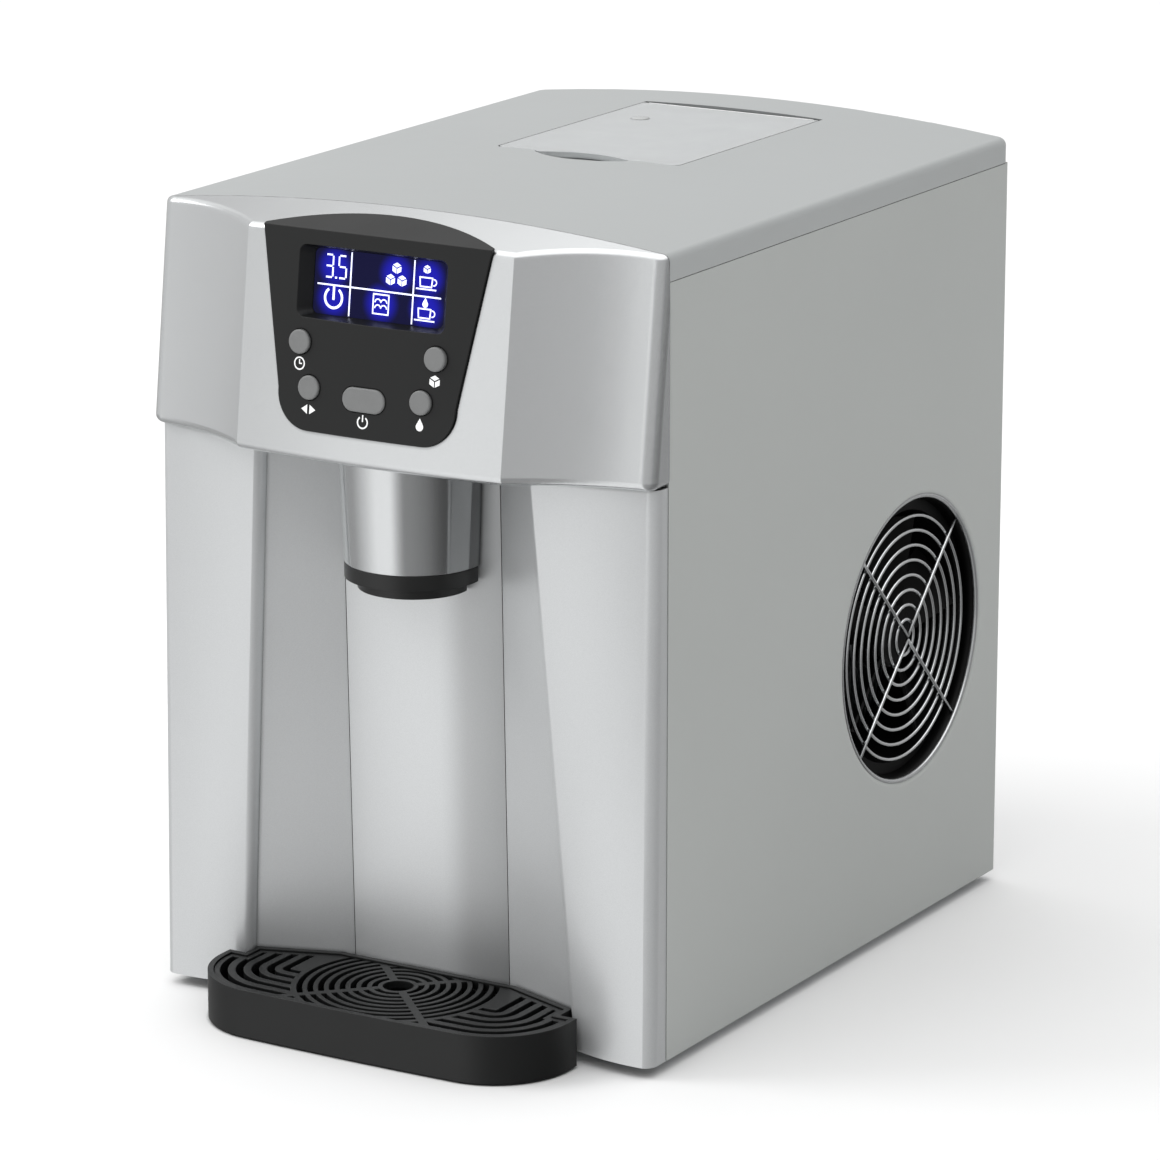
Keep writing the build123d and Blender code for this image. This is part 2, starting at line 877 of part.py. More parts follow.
def shield_prism(inset):
    """Shield outline of the control panel, cut straight back from the front."""
    y = seam_y - 2 * head_front
    top = bezel_top_half - inset
    bend = bezel_bend_half - inset
    floor_half = bezel_floor_half - inset / 2
    floor_z = bezel_floor_z + inset
    mid_x = bezel_corner_mid_x - inset * sqrt(0.5)
    mid_z = bezel_corner_mid_z + inset * sqrt(0.5)
    high = crown_z + overrun
    high_half = top + (high - bezel_top_z) * (bezel_top_half - bezel_bend_half) / (bezel_top_z - bezel_bend_z)
    front = make_face([
        Line((-high_half, y, high), (high_half, y, high)),
        Line((high_half, y, high), (bend, y, bezel_bend_z)),
        ThreePointArc((bend, y, bezel_bend_z), (mid_x, y, mid_z), (floor_half, y, floor_z)),
        Line((floor_half, y, floor_z), (-floor_half, y, floor_z)),
        ThreePointArc((-floor_half, y, floor_z), (-mid_x, y, mid_z), (-bend, y, bezel_bend_z)),
        Line((-bend, y, bezel_bend_z), (-high_half, y, high)),
    ])
    prism = extrude(front, amount=2 * head_front, dir=(0, 1, 0))
    roof_half = bezel_roof_half - inset
    roof = ThreePointArc((-roof_half, seam_y - bezel_roof_front, 0), (0, seam_y - bezel_roof_back - inset, 0),
                         (roof_half, seam_y - bezel_roof_front, 0))
    far = seam_y - 2 * head_front
    plan = make_face([
        roof,
        Line((roof_half, seam_y - bezel_roof_front, 0), (roof_half, far, 0)),
        Line((roof_half, far, 0), (-roof_half, far, 0)),
        Line((-roof_half, far, 0), (-roof_half, seam_y - bezel_roof_front, 0)),
    ])
    return prism & extrude(plan, amount=crown_z + overrun, dir=(0, 0, 1))


def panel_plane(z, out):
    """Plane on the leaning front at a height, so far out from the head's middle line."""
    y = seam_y - head_front + head_lean_share * (z - head_bottom)
    tilt = Vector(0, -1, head_lean_share).normalized()
    origin = Vector(0, y, z) + tilt * out
    return Plane(origin=origin, x_dir=(1, 0, 0), z_dir=tilt)


def bow_at(x):
    """How far the bowed front falls back at a distance from the middle."""
    radius = (crease_x ** 2 + (head_front - crease_front) ** 2) / (2 * (head_front - crease_front))
    return radius - sqrt(radius ** 2 - x ** 2)


def button_places():
    """Button name, place across, height and half length of its straight middle."""
    return [
        ("timer_button", -upper_button_x, upper_button_z, 0),
        ("select_button", -lower_button_x, lower_button_z, 0),
        ("power_button", 0, power_button_z, button_wide_half - button_r),
        ("ice_button", upper_button_x, upper_button_z, 0),
        ("water_button", lower_button_x, lower_button_z, 0),
    ]


def button_blank(x, z, straight, radius, out_low, out_high):
    """Round or obround prism square to the panel."""
    plane = panel_plane(z, out_low)
    if straight > 0:
        flat = SlotCenterToCenter(2 * straight, 2 * radius)
    else:
        flat = Circle(radius)
    return extrude(plane * Pos(x, 0, 0) * flat, amount=out_high - out_low)


def button_back(x, straight):
    """Outward level of the flange face behind the bezel."""
    return -plastic_wall - bow_at(abs(x) + straight + button_r + button_flange) - button_gap_back


def button(x, z, straight):
    """Grey push button with a crowned face and a retaining flange."""
    back = button_back(x, straight)
    stem = button_blank(x, z, straight, button_r, back, button_proud)
    stem = fillet(stem.faces().sort_by(Axis.Y)[0].edges(), button_crown_r)
    flange = button_blank(x, z, straight, button_r + button_flange, back - button_flange_thick, back)
    return stem + flange


def control_bezel():
    """Black shield-shaped panel with a roof over the display."""
    skin = head_form(-bezel_proud, head_bottom) - head_form(plastic_wall, head_bottom - overrun, overrun)
    bezel = (skin & shield_prism(bezel_gap)) + recess_walls()
    bezel -= display_recess()
    bezel -= lens_blank(lens_gap, lens_depth, lens_depth + plastic_wall + overrun)
    for name, x, z, straight in button_places():
        bezel -= button_blank(x, z, straight, button_r + button_gap, -2 * plastic_wall, bezel_proud + overrun)
    return bezel


def display_recess():
    """Tapered well in front of the display."""
    front = panel_plane(recess_mid_z, bezel_proud + overrun)
    back = panel_plane(recess_mid_z, -lens_depth - overrun)
    depth = bezel_proud + lens_depth
    grow = (depth + overrun) / depth
    wide = recess_width + 2 * recess_taper * (grow - 1)
    narrow = recess_width - 2 * recess_taper * (lens_depth + bezel_proud + overrun) / depth
    tall = recess_height + 2 * recess_taper_low * (grow - 1)
    low = recess_height - 2 * recess_taper_low * (lens_depth + bezel_proud + overrun) / depth
    return loft([front * RectangleRounded(wide, tall, recess_corner_r),
                 back * RectangleRounded(narrow, low, recess_corner_r / 2)], ruled=True)


def recess_walls():
    """Solid round the display well from the skin back to the lens."""
    plane = panel_plane(recess_mid_z, -lens_depth)
    face = Rectangle(recess_width, recess_height + 2 * plastic_wall)
    return extrude(plane * face, amount=lens_depth - plastic_wall / 2)


def lens_blank(grow, near, far):
    """Flat block behind the display well, between two depths."""
    plane = panel_plane(recess_mid_z, -far)
    return extrude(plane * Rectangle(lens_width + 2 * grow, lens_height + 2 * grow), amount=far - near)


def lcd_lens():
    """Clear cover of the display."""
    return lens_blank(0, lens_depth, lens_depth + lens_thick)


def lcd_module():
    """Display module on the board."""
    near = lens_depth + lens_thick + fit_gap
    module = lens_blank(2 * fit_gap, near, near + module_thick)
    return chamfer(module.edges().filter_by(Axis.X).sort_by(Axis.Y)[:2], fit_gap)


def display_board():
    """Circuit board with its five push switches."""
    front = -(lens_depth + lens_thick + fit_gap + module_thick)
    plane = panel_plane(board_mid_z, front - board_thick)
    board = extrude(plane * RectangleRounded(board_width, board_height, recess_corner_r), amount=board_thick)
    for name, x, z, straight in button_places():
        face = button_back(x, straight) - button_flange_thick - button_travel - switch_gap
        base = panel_plane(z, front) * Pos(x, 0, 0)
        board += extrude(base * Rectangle(switch_size, switch_size), amount=face - front)
    return board


# Lower front

def front_path(shares, side_front, niche_back):
    """Right half of the pillar and niche wall, from the niche out to the seam."""
    half_panel = panel_half - fit_gap
    outer = [(across * panel_half, -forward * head_front) for across, forward in shares]
    corner_mid, corner_end, pillar_mid, pillar_edge, edge_mid, edge_end = outer
    return [
        (column_seam_x, niche_back + form_back, False),
        (column_seam_x, niche_back, False),
        (*edge_end, False),
        (*edge_mid, True),
        (*pillar_edge, False),
        (*pillar_mid, True),
        (*corner_end, False),
        (*corner_mid, True),
        (half_panel, -side_front, False),
        (half_panel, form_back * 2, False),
    ]


def pillar_split_x():
    """Where the pillar's own back edge begins, half way from the niche to the side."""
    edge_x = pillar_top_shares[3][0] * panel_half
    return (edge_x + panel_half) / 2


def pillar_form(inset):
    """Right pillar and niche side as a block, lofted from foot to head."""
    top = offset_path(front_path(pillar_top_shares, pillar_side_front, niche_back_top), inset)
    foot = offset_path(front_path(pillar_foot_shares, foot_side_front, niche_back_foot), inset)
    return loft([path_face(foot, foot_height, seam_y), path_face(top, front_top, seam_y)], ruled=True)


def right_pillar():
    """Moulded pillar shell with its half of the niche wall."""
    shell = pillar_form(0) - pillar_form(pillar_wall)
    niche_back = seam_y + niche_back_foot + pillar_wall
    keep = block(column_seam_x - overrun, pillar_split_x(), seam_y - head_front, niche_back, 0, head_bottom)
    keep += block(0, head_half, seam_y - head_front, seam_y, 0, head_bottom)
    return shell & keep


def lower_fascia():
    """Both pillars joined by the rail behind the foot of the column."""
    right = right_pillar()
    left = mirror(right, Plane.YZ)
    rail_y = seam_y + niche_back_foot + pillar_wall
    rail = block(-column_seam_x - overrun, column_seam_x + overrun, rail_y, rail_y + pillar_wall,
                 foot_height, foot_height + base_lip)
    return right + left + rail


def column_face(inset, seam_back, z):
    """Plan of the bowed column between the niche seams."""
    half = column_seam_x - column_gap - inset
    y = seam_y + seam_back + inset
    bow = column_bulge
    back = seam_y + niche_back_foot + pillar_wall - fit_gap + inset
    return make_face([
        ThreePointArc((-half, y, z), (0, y - bow, z), (half, y, z)),
        Line((half, y, z), (half, back, z)),
        Line((half, back, z), (-half, back, z)),
        Line((-half, back, z), (-half, y, z)),
    ])


def column_form(inset, low_z, high_z):
    """Bowed column block between two heights."""
    return loft(
        [column_face(inset, column_back(low_z), low_z), column_face(inset, column_back(high_z), high_z)],
        ruled=True,
    )


def column_back(z):
    """How far behind the seam the column's edges stand at a height."""
    share = (z - foot_height) / (front_top - foot_height)
    return niche_back_foot + share * (niche_back_top - niche_back_foot)


def niche_column():
    """Bright bowed column down the middle of the niche."""
    column = column_form(0, foot_height, front_top)
    column -= column_form(column_wall, foot_height - overrun, front_top - column_wall)
    return column - rod((0, spout_y + outlet_y, outlet_z), (0, 1, 0), outlet_back, outlet_r + fit_gap)


# Spout and chute

def spout_shroud():
    """Bright tapered shroud whose back meets the column."""
    x0 = shroud_bottom_r
    x1 = shroud_top_r
    top = head_bottom + plastic_wall + fit_gap
    points = [
        (x0, shroud_bottom_z), (x1, head_bottom), (x1, top), (x1 - shroud_wall, top),
        (x1 - shroud_wall, head_bottom), (x0 - shroud_wall, shroud_bottom_z),
    ]
    profile = make_face(Polyline(*[(x, spout_y, z) for x, z in points], close=True))
    shell = revolve(profile, Axis((0, spout_y, 0), (0, 0, 1)), 360)
    flange = pipe((0, spout_y, top), (0, 0, 1), shroud_flange_thick, x1 + shroud_flange, x1 - shroud_wall)
    shell += flange & block(
        -head_half, head_half, spout_y - x1 + 2 * fit_gap, spout_y + head_half, 0, crown_z,
    )
    shell &= block(-head_half, head_half, spout_y - head_half, spout_y + tongue_back, 0, crown_z)
    return shell - column_form(-fit_gap, foot_height, front_top)


def disc_in_front(radius, z0, z1, back):
    """Upright disc cut straight across at the back."""
    disc = rod((0, spout_y, z0), (0, 0, 1), z1 - z0, radius)
    return disc & block(-radius, radius, spout_y - radius, spout_y + back, z0, z1)


def chute_collar():
    """Black ring under the shroud."""
    low = shroud_bottom_z - fit_gap - collar_height
    ring = disc_in_front(collar_r, low, shroud_bottom_z - fit_gap, nozzle_back)
    return ring - disc_in_front(nozzle_r + fit_gap, low - overrun, shroud_bottom_z, nozzle_back + overrun)


def nozzle_form(inset, low_z, high_z):
    """Outlet that widens upwards to take the square chute."""
    r0 = nozzle_r - inset
    r1 = nozzle_flare_r - inset
    points = [
        (0, low_z), (r0, low_z), (r0, nozzle_flare_z), (r1, chute_bottom_z - overrun), (r1, high_z),
        (0, high_z),
    ]
    profile = make_face(Polyline(*[(x, spout_y, z) for x, z in points], close=True))
    return revolve(profile, Axis((0, spout_y, 0), (0, 0, 1)), 360)


def chute_nozzle():
    """Black outlet that guides the ice down in front of the column."""
    wall = nozzle_r - nozzle_inner_r
    nozzle = nozzle_form(0, nozzle_bottom_z, chute_bottom_z)
    nozzle &= block(-head_half, head_half, spout_y - head_half, spout_y + nozzle_back, 0, head_bottom)
    hollow = nozzle_form(wall, nozzle_bottom_z - overrun, chute_bottom_z + overrun)
    hollow &= block(
        -head_half, head_half, spout_y - head_half, spout_y + nozzle_back - thin_wall, 0, head_bottom,
    )
    nozzle -= hollow
    return nozzle - rod((0, spout_y + outlet_y, outlet_z), (0, 1, 0), outlet_back, outlet_r + fit_gap)


def chute_tube(radius):
    """Lane of the auger between the bin and the chute."""
    return rod((0, seam_y + tube_front, auger_z), (0, 1, 0), bin_front - tube_front, radius)


def ice_chute():
    """Auger tube and square drop chute in one moulding."""
    outer_r = auger_lane_r + tube_wall
    outer = chute_tube(outer_r)
    outer += rounded_block(-chute_half, chute_half, spout_y - chute_half, spout_y + chute_back,
                           chute_bottom_z, auger_z, chute_corner_r)
    outer += rod((0, seam_y + bin_front - tube_flange_thick, auger_z), (0, 1, 0), tube_flange_thick,
                 outer_r + tube_flange)
    inner = rod(
        (0, seam_y + tube_front + tube_wall, auger_z), (0, 1, 0), bin_front - tube_front, auger_lane_r,
    )
    inner += rounded_block(
        -chute_half + chute_wall, chute_half - chute_wall, spout_y - chute_half + chute_wall,
        spout_y + chute_back - chute_wall, chute_bottom_z - overrun, auger_z - overrun,
        chute_corner_r - chute_wall,
    )
    chute = outer - inner
    chute += rod((0, seam_y + tube_front, auger_z), (0, 1, 0), auger_boss_back - tube_front, auger_boss_r)
    chute -= flap_pin(flap_pin_r + running_gap)
    return chute - rod((0, seam_y + auger_front - fit_gap, auger_z), (0, 1, 0), 2 * overrun,
                       auger_shaft_r + running_gap)


def flap_hinge_y():
    """Line of the flap hinge, just in front of the chute's back wall."""
    return spout_y + chute_back - chute_wall - flap_gap - flap_pin_r


def flap_pin(radius):
    """Pin of the flap, through both chute walls."""
    return rod((-chute_half, flap_hinge_y(), flap_z), (1, 0, 0), 2 * chute_half + fit_gap, radius)


def chute_flap():
    """Plate that shuts the chute, on its hinge pin."""
    half = chute_half - chute_wall - flap_gap
    front = spout_y - chute_half + chute_wall + flap_gap
    plate = rounded_block(
        -half, half, front, flap_hinge_y(), flap_z - flap_thick / 2, flap_z + flap_thick / 2,
        chute_corner_r,
    )
    root_half = half - chute_corner_r
    root = block(
        -root_half, root_half, flap_hinge_y() - chute_corner_r, flap_hinge_y(), flap_z - flap_thick / 2,
        flap_z + flap_thick / 2,
    )
    return plate + root + flap_pin(flap_pin_r)


def flap_motor():
    """Small gearmotor on the chute's right wall."""
    x = chute_half + 2 * fit_gap
    z = flap_z - 2 * flap_pin_r
    body = block(x, x + flap_motor_width, flap_hinge_y(), flap_hinge_y() + flap_motor_depth,
                 z + fit_gap, z + flap_motor_height)
    body = fillet(body.edges().filter_by(Axis.X), flap_pin_r)
    return body - flap_pin(flap_pin_r + fit_gap)


def water_outlet_tube():
    """Elbow that brings the water through the column to the outlet."""
    y = spout_y + outlet_y
    level = rod((0, y, outlet_z), (0, 1, 0), outlet_back, outlet_r)
    drop = rod((0, y, outlet_tip_z), (0, 0, 1), outlet_z - outlet_tip_z, outlet_r)
    tube = level + drop + Pos(0, y, outlet_z) * Sphere(outlet_r)
    tube -= rod((0, y, outlet_z), (0, 1, 0), outlet_back + overrun, outlet_inner_r)
    return tube - rod(
        (0, y, outlet_tip_z - overrun), (0, 0, 1), outlet_z - outlet_tip_z + overrun, outlet_inner_r,
    )


# Drip tray and grille

def tray_front_path(inset):
    """Right half of the tray's front, from its middle round the corner to the side."""
    radius = tray_corner_r - inset
    corner_x = tray_half - tray_corner_r
    corner_y = tray_bow - tray_reach + tray_corner_r
    turn = radius * sqrt(0.5)
    return [
        (0, inset - tray_reach, True),
        (corner_x, corner_y - radius, False),
        (corner_x + turn, corner_y - turn, True),
        (tray_half - inset, corner_y, False),
    ]


def tray_niche_path(inset):
    """Right half of the tray's back, from the shoulder along the niche wall to the column."""
    run = tray_niche_half - tray_inner_half
    rise = tray_niche_front + tray_inner_back
    slope = rise / run
    drop = inset * sqrt(1 + slope * slope)
    niche_x = tray_niche_half - inset
    wall_y = -tray_niche_front - drop + slope * inset
    back_y = tray_back - inset
    back_x = niche_x - (back_y - wall_y) / slope
    return [
        (tray_half - inset, -tray_shoulder_front - inset, False),
        (niche_x, -tray_shoulder_front - inset, False),
        (niche_x, wall_y, False),
        (back_x, back_y, False),
    ]


def tray_face(inset, z):
    """Level face of the tray outline set in by the inset."""
    return path_face(mirrored_path(tray_front_path(inset) + tray_niche_path(inset)), z, seam_y)


def tray_block(inset, z0, z1):
    """Tray outline raised between two levels."""
    return extrude(tray_face(inset, z0), amount=z1 - z0, dir=(0, 0, 1))


def drip_tray():
    """Hollow black tray with a ledge for the grille, pads and a tongue under the case."""
    tray = tray_block(0, tray_floor_z, tray_top_z)
    seat = tray_top_z - grille_sink - grille_thick
    tray -= tray_block(tray_wall, seat, tray_top_z + overrun)
    tray -= tray_block(tray_wall + tray_ledge, tray_floor_z + tray_floor, tray_top_z)
    for side in (-1, 1):
        for front in (tray_reach - tray_corner_r, tray_shoulder_front + tray_pad_r):
            x = side * (tray_half - tray_corner_r)
            tray += rod((x, seam_y - front, 0), (0, 0, 1), tray_floor_z + tray_floor / 2, tray_pad_r)
    tongue = rounded_block(-tray_tongue_half, tray_tongue_half, seam_y, seam_y + tray_tongue_back,
                           tray_floor_z, tray_floor_z + tray_tongue_thick, tray_pad_r)
    return tray + tongue


def drip_grille():
    """Lift-out grille: rings round the middle hole, rows that follow the tray's edge."""
    low = tray_top_z - grille_sink - grille_thick
    grille = tray_block(tray_wall + grille_gap, low, low + grille_thick)
    return grille - grille_slots(low)


def row_face(inset, z):
    """Horseshoe outline that follows the tray's front and sides."""
    half = tray_front_path(inset) + [(tray_half - inset, tray_back, False)]
    return path_face(mirrored_path(half), z, seam_y)


def grille_rows(low, height):
    """Slots between the horseshoe rows, kept inside the rim."""
    start = tray_wall + grille_gap + grille_rim
    rim = tray_block(start, low, low + height)
    slots = None
    for row in range(grille_row_count):
        near = start + row * grille_row_pitch
        far = near + grille_row_pitch - grille_row_bar
        slot = extrude(row_face(near, low) - row_face(far, low), amount=height, dir=(0, 0, 1))
        slots = slot if slots is None else slots + slot
    return slots & rim


def grille_rings(low, height):
    """Ring slots round the middle hole."""
    rings = None
    for ring in range(grille_ring_count):
        inner = grille_hole_r + grille_ring_pitch * ring + grille_ring_bar
        outer = inner + grille_ring_pitch - grille_ring_bar
        slot = extrude(Pos(0, seam_y - grille_centre_front, low) * (Circle(outer) - Circle(inner)),
                       amount=height, dir=(0, 0, 1))
        rings = slot if rings is None else rings + slot
    return rings


def grille_slots(low):
    """All through-slots of the grille as one cutter."""
    low -= overrun
    height = grille_thick + 2 * overrun
    centre = (0, seam_y - grille_centre_front, low)
    field_r = grille_hole_r + grille_ring_pitch * grille_ring_count + grille_field_gap
    field = rod(centre, (0, 0, 1), height, field_r)
    cross = Rectangle(2 * head_half, grille_spoke) + Rectangle(grille_spoke, 2 * head_half)
    spokes = extrude(Pos(*centre) * (Rot(0, 0, 45) * cross), amount=height, dir=(0, 0, 1))
    hole = rod(centre, (0, 0, 1), height, grille_hole_r)
    return grille_rings(low, height) - spokes + (grille_rows(low, height) - field - spokes) + hole


# Ice bin

def bin_path():
    """Half section of the bin from the middle of its trough up to its rim, as (x, z)."""
    trough_r = auger_lane_r + bin_wall
    return [(0, auger_z - trough_r, True), (trough_r, auger_z, False), (bin_half, bin_shoulder_z, False),
            (bin_half, bin_top_z, False)]


def bin_form(inset, y0, y1, top_z):
    """Bin section carried from front to back."""
    path = offset_path(mirrored_path(bin_path()), inset)
    path = [(path[0][0], top_z, False)] + path[1:-1] + [(path[-1][0], top_z, False)]
    points = [(x, y0, z) for x, z, mid in path]
    edges = []
    i = 0
    while i < len(path) - 1:
        if path[i + 1][2]:
            edges.append(ThreePointArc(points[i], points[i + 1], points[i + 2]))
            i += 2
        else:
            edges.append(Line(points[i], points[i + 1]))
            i += 1
    edges.append(Line(points[-1], points[0]))
    return extrude(make_face(edges), amount=y1 - y0, dir=(0, 1, 0))


def ice_bin():
    """Open bin with a trough floor, a round outlet and bearings for the water tray."""
    front = seam_y + bin_front
    back = seam_y + bin_back
    ice = bin_form(0, front, back, bin_top_z)
    ice -= bin_form(bin_wall, front + bin_wall, back - bin_wall, bin_top_z + overrun)
    ice -= rod((0, front - overrun, auger_z), (0, 1, 0), bin_wall + overrun, auger_lane_r)
    ice -= rod((0, back - 2 * overrun, auger_z), (0, 1, 0), 3 * overrun, auger_shaft_r + fit_gap)
    y = seam_y + evaporator_y
    notch = header_r + fit_gap
    ice -= rod((-head_half, y, evaporator_z), (1, 0, 0), 2 * head_half, notch)
    ice -= block(-head_half, head_half, y - notch, y + notch, evaporator_z, bin_top_z + overrun)
    return ice - rod((-head_half, y, water_tray_axis_z), (1, 0, 0), 2 * head_half, water_pin_r + running_gap)


def bin_insulation():
    """Foam bed under and round the lower half of the bin."""
    foam = rounded_block(-foam_half, foam_half, seam_y + foam_front, seam_y + foam_back, foam_bottom_z,
                         foam_top_z, lid_corner_r)
    foam -= bin_form(-fit_gap, seam_y + bin_front - fit_gap, seam_y + bin_back + fit_gap, crown_z)
    outer_r = auger_lane_r + tube_wall
    foam -= rod((0, seam_y + foam_front - overrun, auger_z), (0, 1, 0), bin_front - foam_front + overrun,
                outer_r + fit_gap)
    foam -= rod(
        (0, seam_y + bin_front - tube_flange_thick - fit_gap, auger_z), (0, 1, 0), 2 * tube_flange_thick,
        outer_r + tube_flange + fit_gap,
    )
    return foam - rod((0, seam_y + bin_back, auger_z), (0, 1, 0), foam_back, auger_shaft_r + 2 * fit_gap)


def auger_flight():
    """Helical blade wound round the shaft."""
    length = auger_flight_back - auger_flight_front
    start = seam_y + auger_flight_front
    inner = auger_shaft_r - thin_wall / 2
    mid_r = (inner + auger_r) / 2
    path = Helix(auger_pitch, length, mid_r)
    root = Plane(origin=path @ 0, x_dir=(1, 0, 0), z_dir=path % 0)
    section = root * Rectangle(auger_r - inner, auger_flight_thick)
    flight = sweep(section, path=path, is_frenet=True)
    turned = Plane(origin=(0, start, auger_z), x_dir=(1, 0, 0), z_dir=(0, 1, 0)) * flight
    return turned


def auger():
    """Shaft and flight that push the ice along the trough."""
    end = foam_back + fit_gap + auger_socket_depth
    shaft = rod((0, seam_y + auger_front, auger_z), (0, 1, 0), end - auger_front, auger_shaft_r)
    return shaft + auger_flight()


def auger_motor():
    """Gearmotor behind the bin on its foot."""
    y = seam_y + foam_back + fit_gap
    body = rod((0, y, auger_z), (0, 1, 0), auger_motor_depth, auger_motor_r)
    body = chamfer(body.edges().sort_by(Axis.Y)[-1], thin_wall)
    foot_back = seam_y + shelf_back
    foot_half = auger_motor_r / 2
    foot = block(-foot_half, foot_half, y, foot_back, foam_bottom_z, auger_z)
    gear = rod((0, y, auger_z), (0, 1, 0), auger_socket_depth + fit_gap, auger_shaft_r + running_gap)
    return body + foot - gear


# Evaporator and water tray

def evaporator():
    """Plated header across the bin with its freezing fingers."""
    y = seam_y + evaporator_y
    shape = rod((-header_half, y, evaporator_z), (1, 0, 0), 2 * header_half, header_r)
    for finger in range(finger_count):
        x = (finger - (finger_count - 1) / 2) * finger_pitch
        shape += rod((x, y, evaporator_z - finger_length), (0, 0, 1), finger_length, finger_r)
    return shape


def water_tray():
    """Half-round trough that tips on its two pins."""
    y = seam_y + evaporator_y
    outer_r = water_tray_r + water_tray_wall
    start = (-water_tray_half, y, water_tray_axis_z)
    inner = (-water_tray_half + water_tray_wall, y, water_tray_axis_z)
    trough = rod(start, (1, 0, 0), 2 * water_tray_half, outer_r)
    trough -= rod(inner, (1, 0, 0), 2 * (water_tray_half - water_tray_wall), water_tray_r)
    trough -= block(-water_tray_half, water_tray_half, y - outer_r, y + outer_r, water_tray_axis_z,
                    water_tray_axis_z + outer_r)
    ear = rod(start, (1, 0, 0), water_tray_wall, 2 * water_pin_r)
    ear += rod(
        (water_tray_half - water_tray_wall, y, water_tray_axis_z), (1, 0, 0), water_tray_wall,
        2 * water_pin_r,
    )
    pins = rod(start, (-1, 0, 0), bin_half - water_tray_half + fit_gap, water_pin_r)
    pins += rod((water_tray_half, y, water_tray_axis_z), (1, 0, 0),
                bin_half - water_tray_half + tray_motor_depth / 2, water_pin_r)
    return trough + ear + pins


def water_tray_motor():
    """Small motor on the bin's right side."""
    y = seam_y + evaporator_y
    body = rod((bin_half + fit_gap, y, water_tray_axis_z), (1, 0, 0), tray_motor_depth, tray_motor_r)
    return body - rod((bin_half, y, water_tray_axis_z), (1, 0, 0), tray_motor_depth / 2 + 2 * fit_gap,
                      water_pin_r + running_gap)


# Inner frame

def frame_leg(side, y, inwards):
    """Angle post from the base pan to the shelf."""
    x1 = side * shelf_half
    x0 = side * (shelf_half - leg_size)
    y0, y1 = sorted((seam_y + y, seam_y + y + inwards * leg_size))
    high = foam_bottom_z - shelf_thick
    web = side * (shelf_half - leg_sheet)
    post = block(min(x0, x1), max(x0, x1), y0, y1, base_floor_z, high)
    hollow_x0, hollow_x1 = sorted((x0 - side * overrun, web))
    if inwards > 0:
        return post - block(hollow_x0, hollow_x1, y0 + leg_sheet, y1 + overrun, 0, crown_z)
    return post - block(hollow_x0, hollow_x1, y0 - overrun, y1 - leg_sheet, 0, crown_z)


def inner_frame():
    """Shelf on four angle posts that carries the bin."""
    shelf = rounded_block(-shelf_half, shelf_half, seam_y + shelf_front, seam_y + shelf_back,
                          foam_bottom_z - shelf_thick, foam_bottom_z, thin_wall)
    for side in (-1, 1):
        shelf += frame_leg(side, leg_front, 1)
        shelf += frame_leg(side, leg_back, -1)
    return shelf


# Cooling air

def fan_shroud():
    """Black duct between the condenser and the guard, on its own foot."""
    y = seam_y + vent_y
    half = shroud_plate_half
    x = shroud_plate_x
    plate = block(x, x + shroud_plate_thick, y - half, y + half, base_floor_z, vent_z + half)
    start = (x, y, vent_z)
    depth = panel_half - vent_lip_depth - fit_gap - x
    ring = pipe(start, (1, 0, 0), depth, shroud_ring_r, shroud_ring_inner_r)
    shroud = plate - rod(start, (1, 0, 0), depth, shroud_ring_inner_r) + ring
    for turn in (90, 210, 330):
        strut = block(x, x + fan_strut, y, y + shroud_ring_inner_r + thin_wall, vent_z - fan_strut / 2,
                      vent_z + fan_strut / 2)
        shroud += strut.rotate(Axis(start, (1, 0, 0)), turn)
    hub = rod(start, (1, 0, 0), fan_strut, fan_motor_r)
    return shroud + hub


def fan_motor():
    """Fan motor on the struts."""
    x = shroud_plate_x + fan_strut
    start = (x, seam_y + vent_y, vent_z)
    body = rod(start, (1, 0, 0), fan_motor_depth, fan_motor_r)
    body = fillet(body.edges().sort_by(Axis.X)[-1], thin_wall)
    bore = rod((x + fan_motor_depth - fan_axle_reach, seam_y + vent_y, vent_z), (1, 0, 0), 2 * fan_axle_reach,
               fan_axle_r + running_gap)
    return body - bore


def fan_blade(hub_x):
    """One twisted blade, standing up from the hub."""
    y = seam_y + vent_y
    root = Plane(origin=(hub_x, y, vent_z + fan_hub_r - thin_wall), x_dir=(1, 0, 0), z_dir=(0, 0, 1))
    tip = Plane(origin=(hub_x, y, vent_z + fan_r), x_dir=(1, 0, 0), z_dir=(0, 0, 1))
    root_flat = root * Rot(0, 0, 90 - fan_root_angle) * Rectangle(fan_root_chord, fan_blade_thick)
    tip_flat = tip * Rot(0, 0, 90 - fan_tip_angle) * Rectangle(fan_tip_chord, fan_blade_thick)
    return loft([root_flat, tip_flat], ruled=True)


def fan_blades():
    """Hub, axle and blades."""
    y = seam_y + vent_y
    x = shroud_plate_x + fan_strut + fan_motor_depth + fan_hub_gap
    hub = rod((x, y, vent_z), (1, 0, 0), fan_hub_depth, fan_hub_r)
    hub = fillet(hub.edges().sort_by(Axis.X)[-1], thin_wall)
    fan = hub + rod(
        (x - fan_hub_gap - fan_axle_reach + running_gap, y, vent_z), (1, 0, 0),
        fan_hub_gap + fan_axle_reach, fan_axle_r,
    )
    blade = fan_blade(x + fan_hub_depth / 2)
    for i in range(fan_blade_count):
        fan += blade.rotate(Axis((x, y, vent_z), (1, 0, 0)), 360 * i / fan_blade_count)
    return fan & rod((0, y, vent_z), (1, 0, 0), head_half, fan_r)


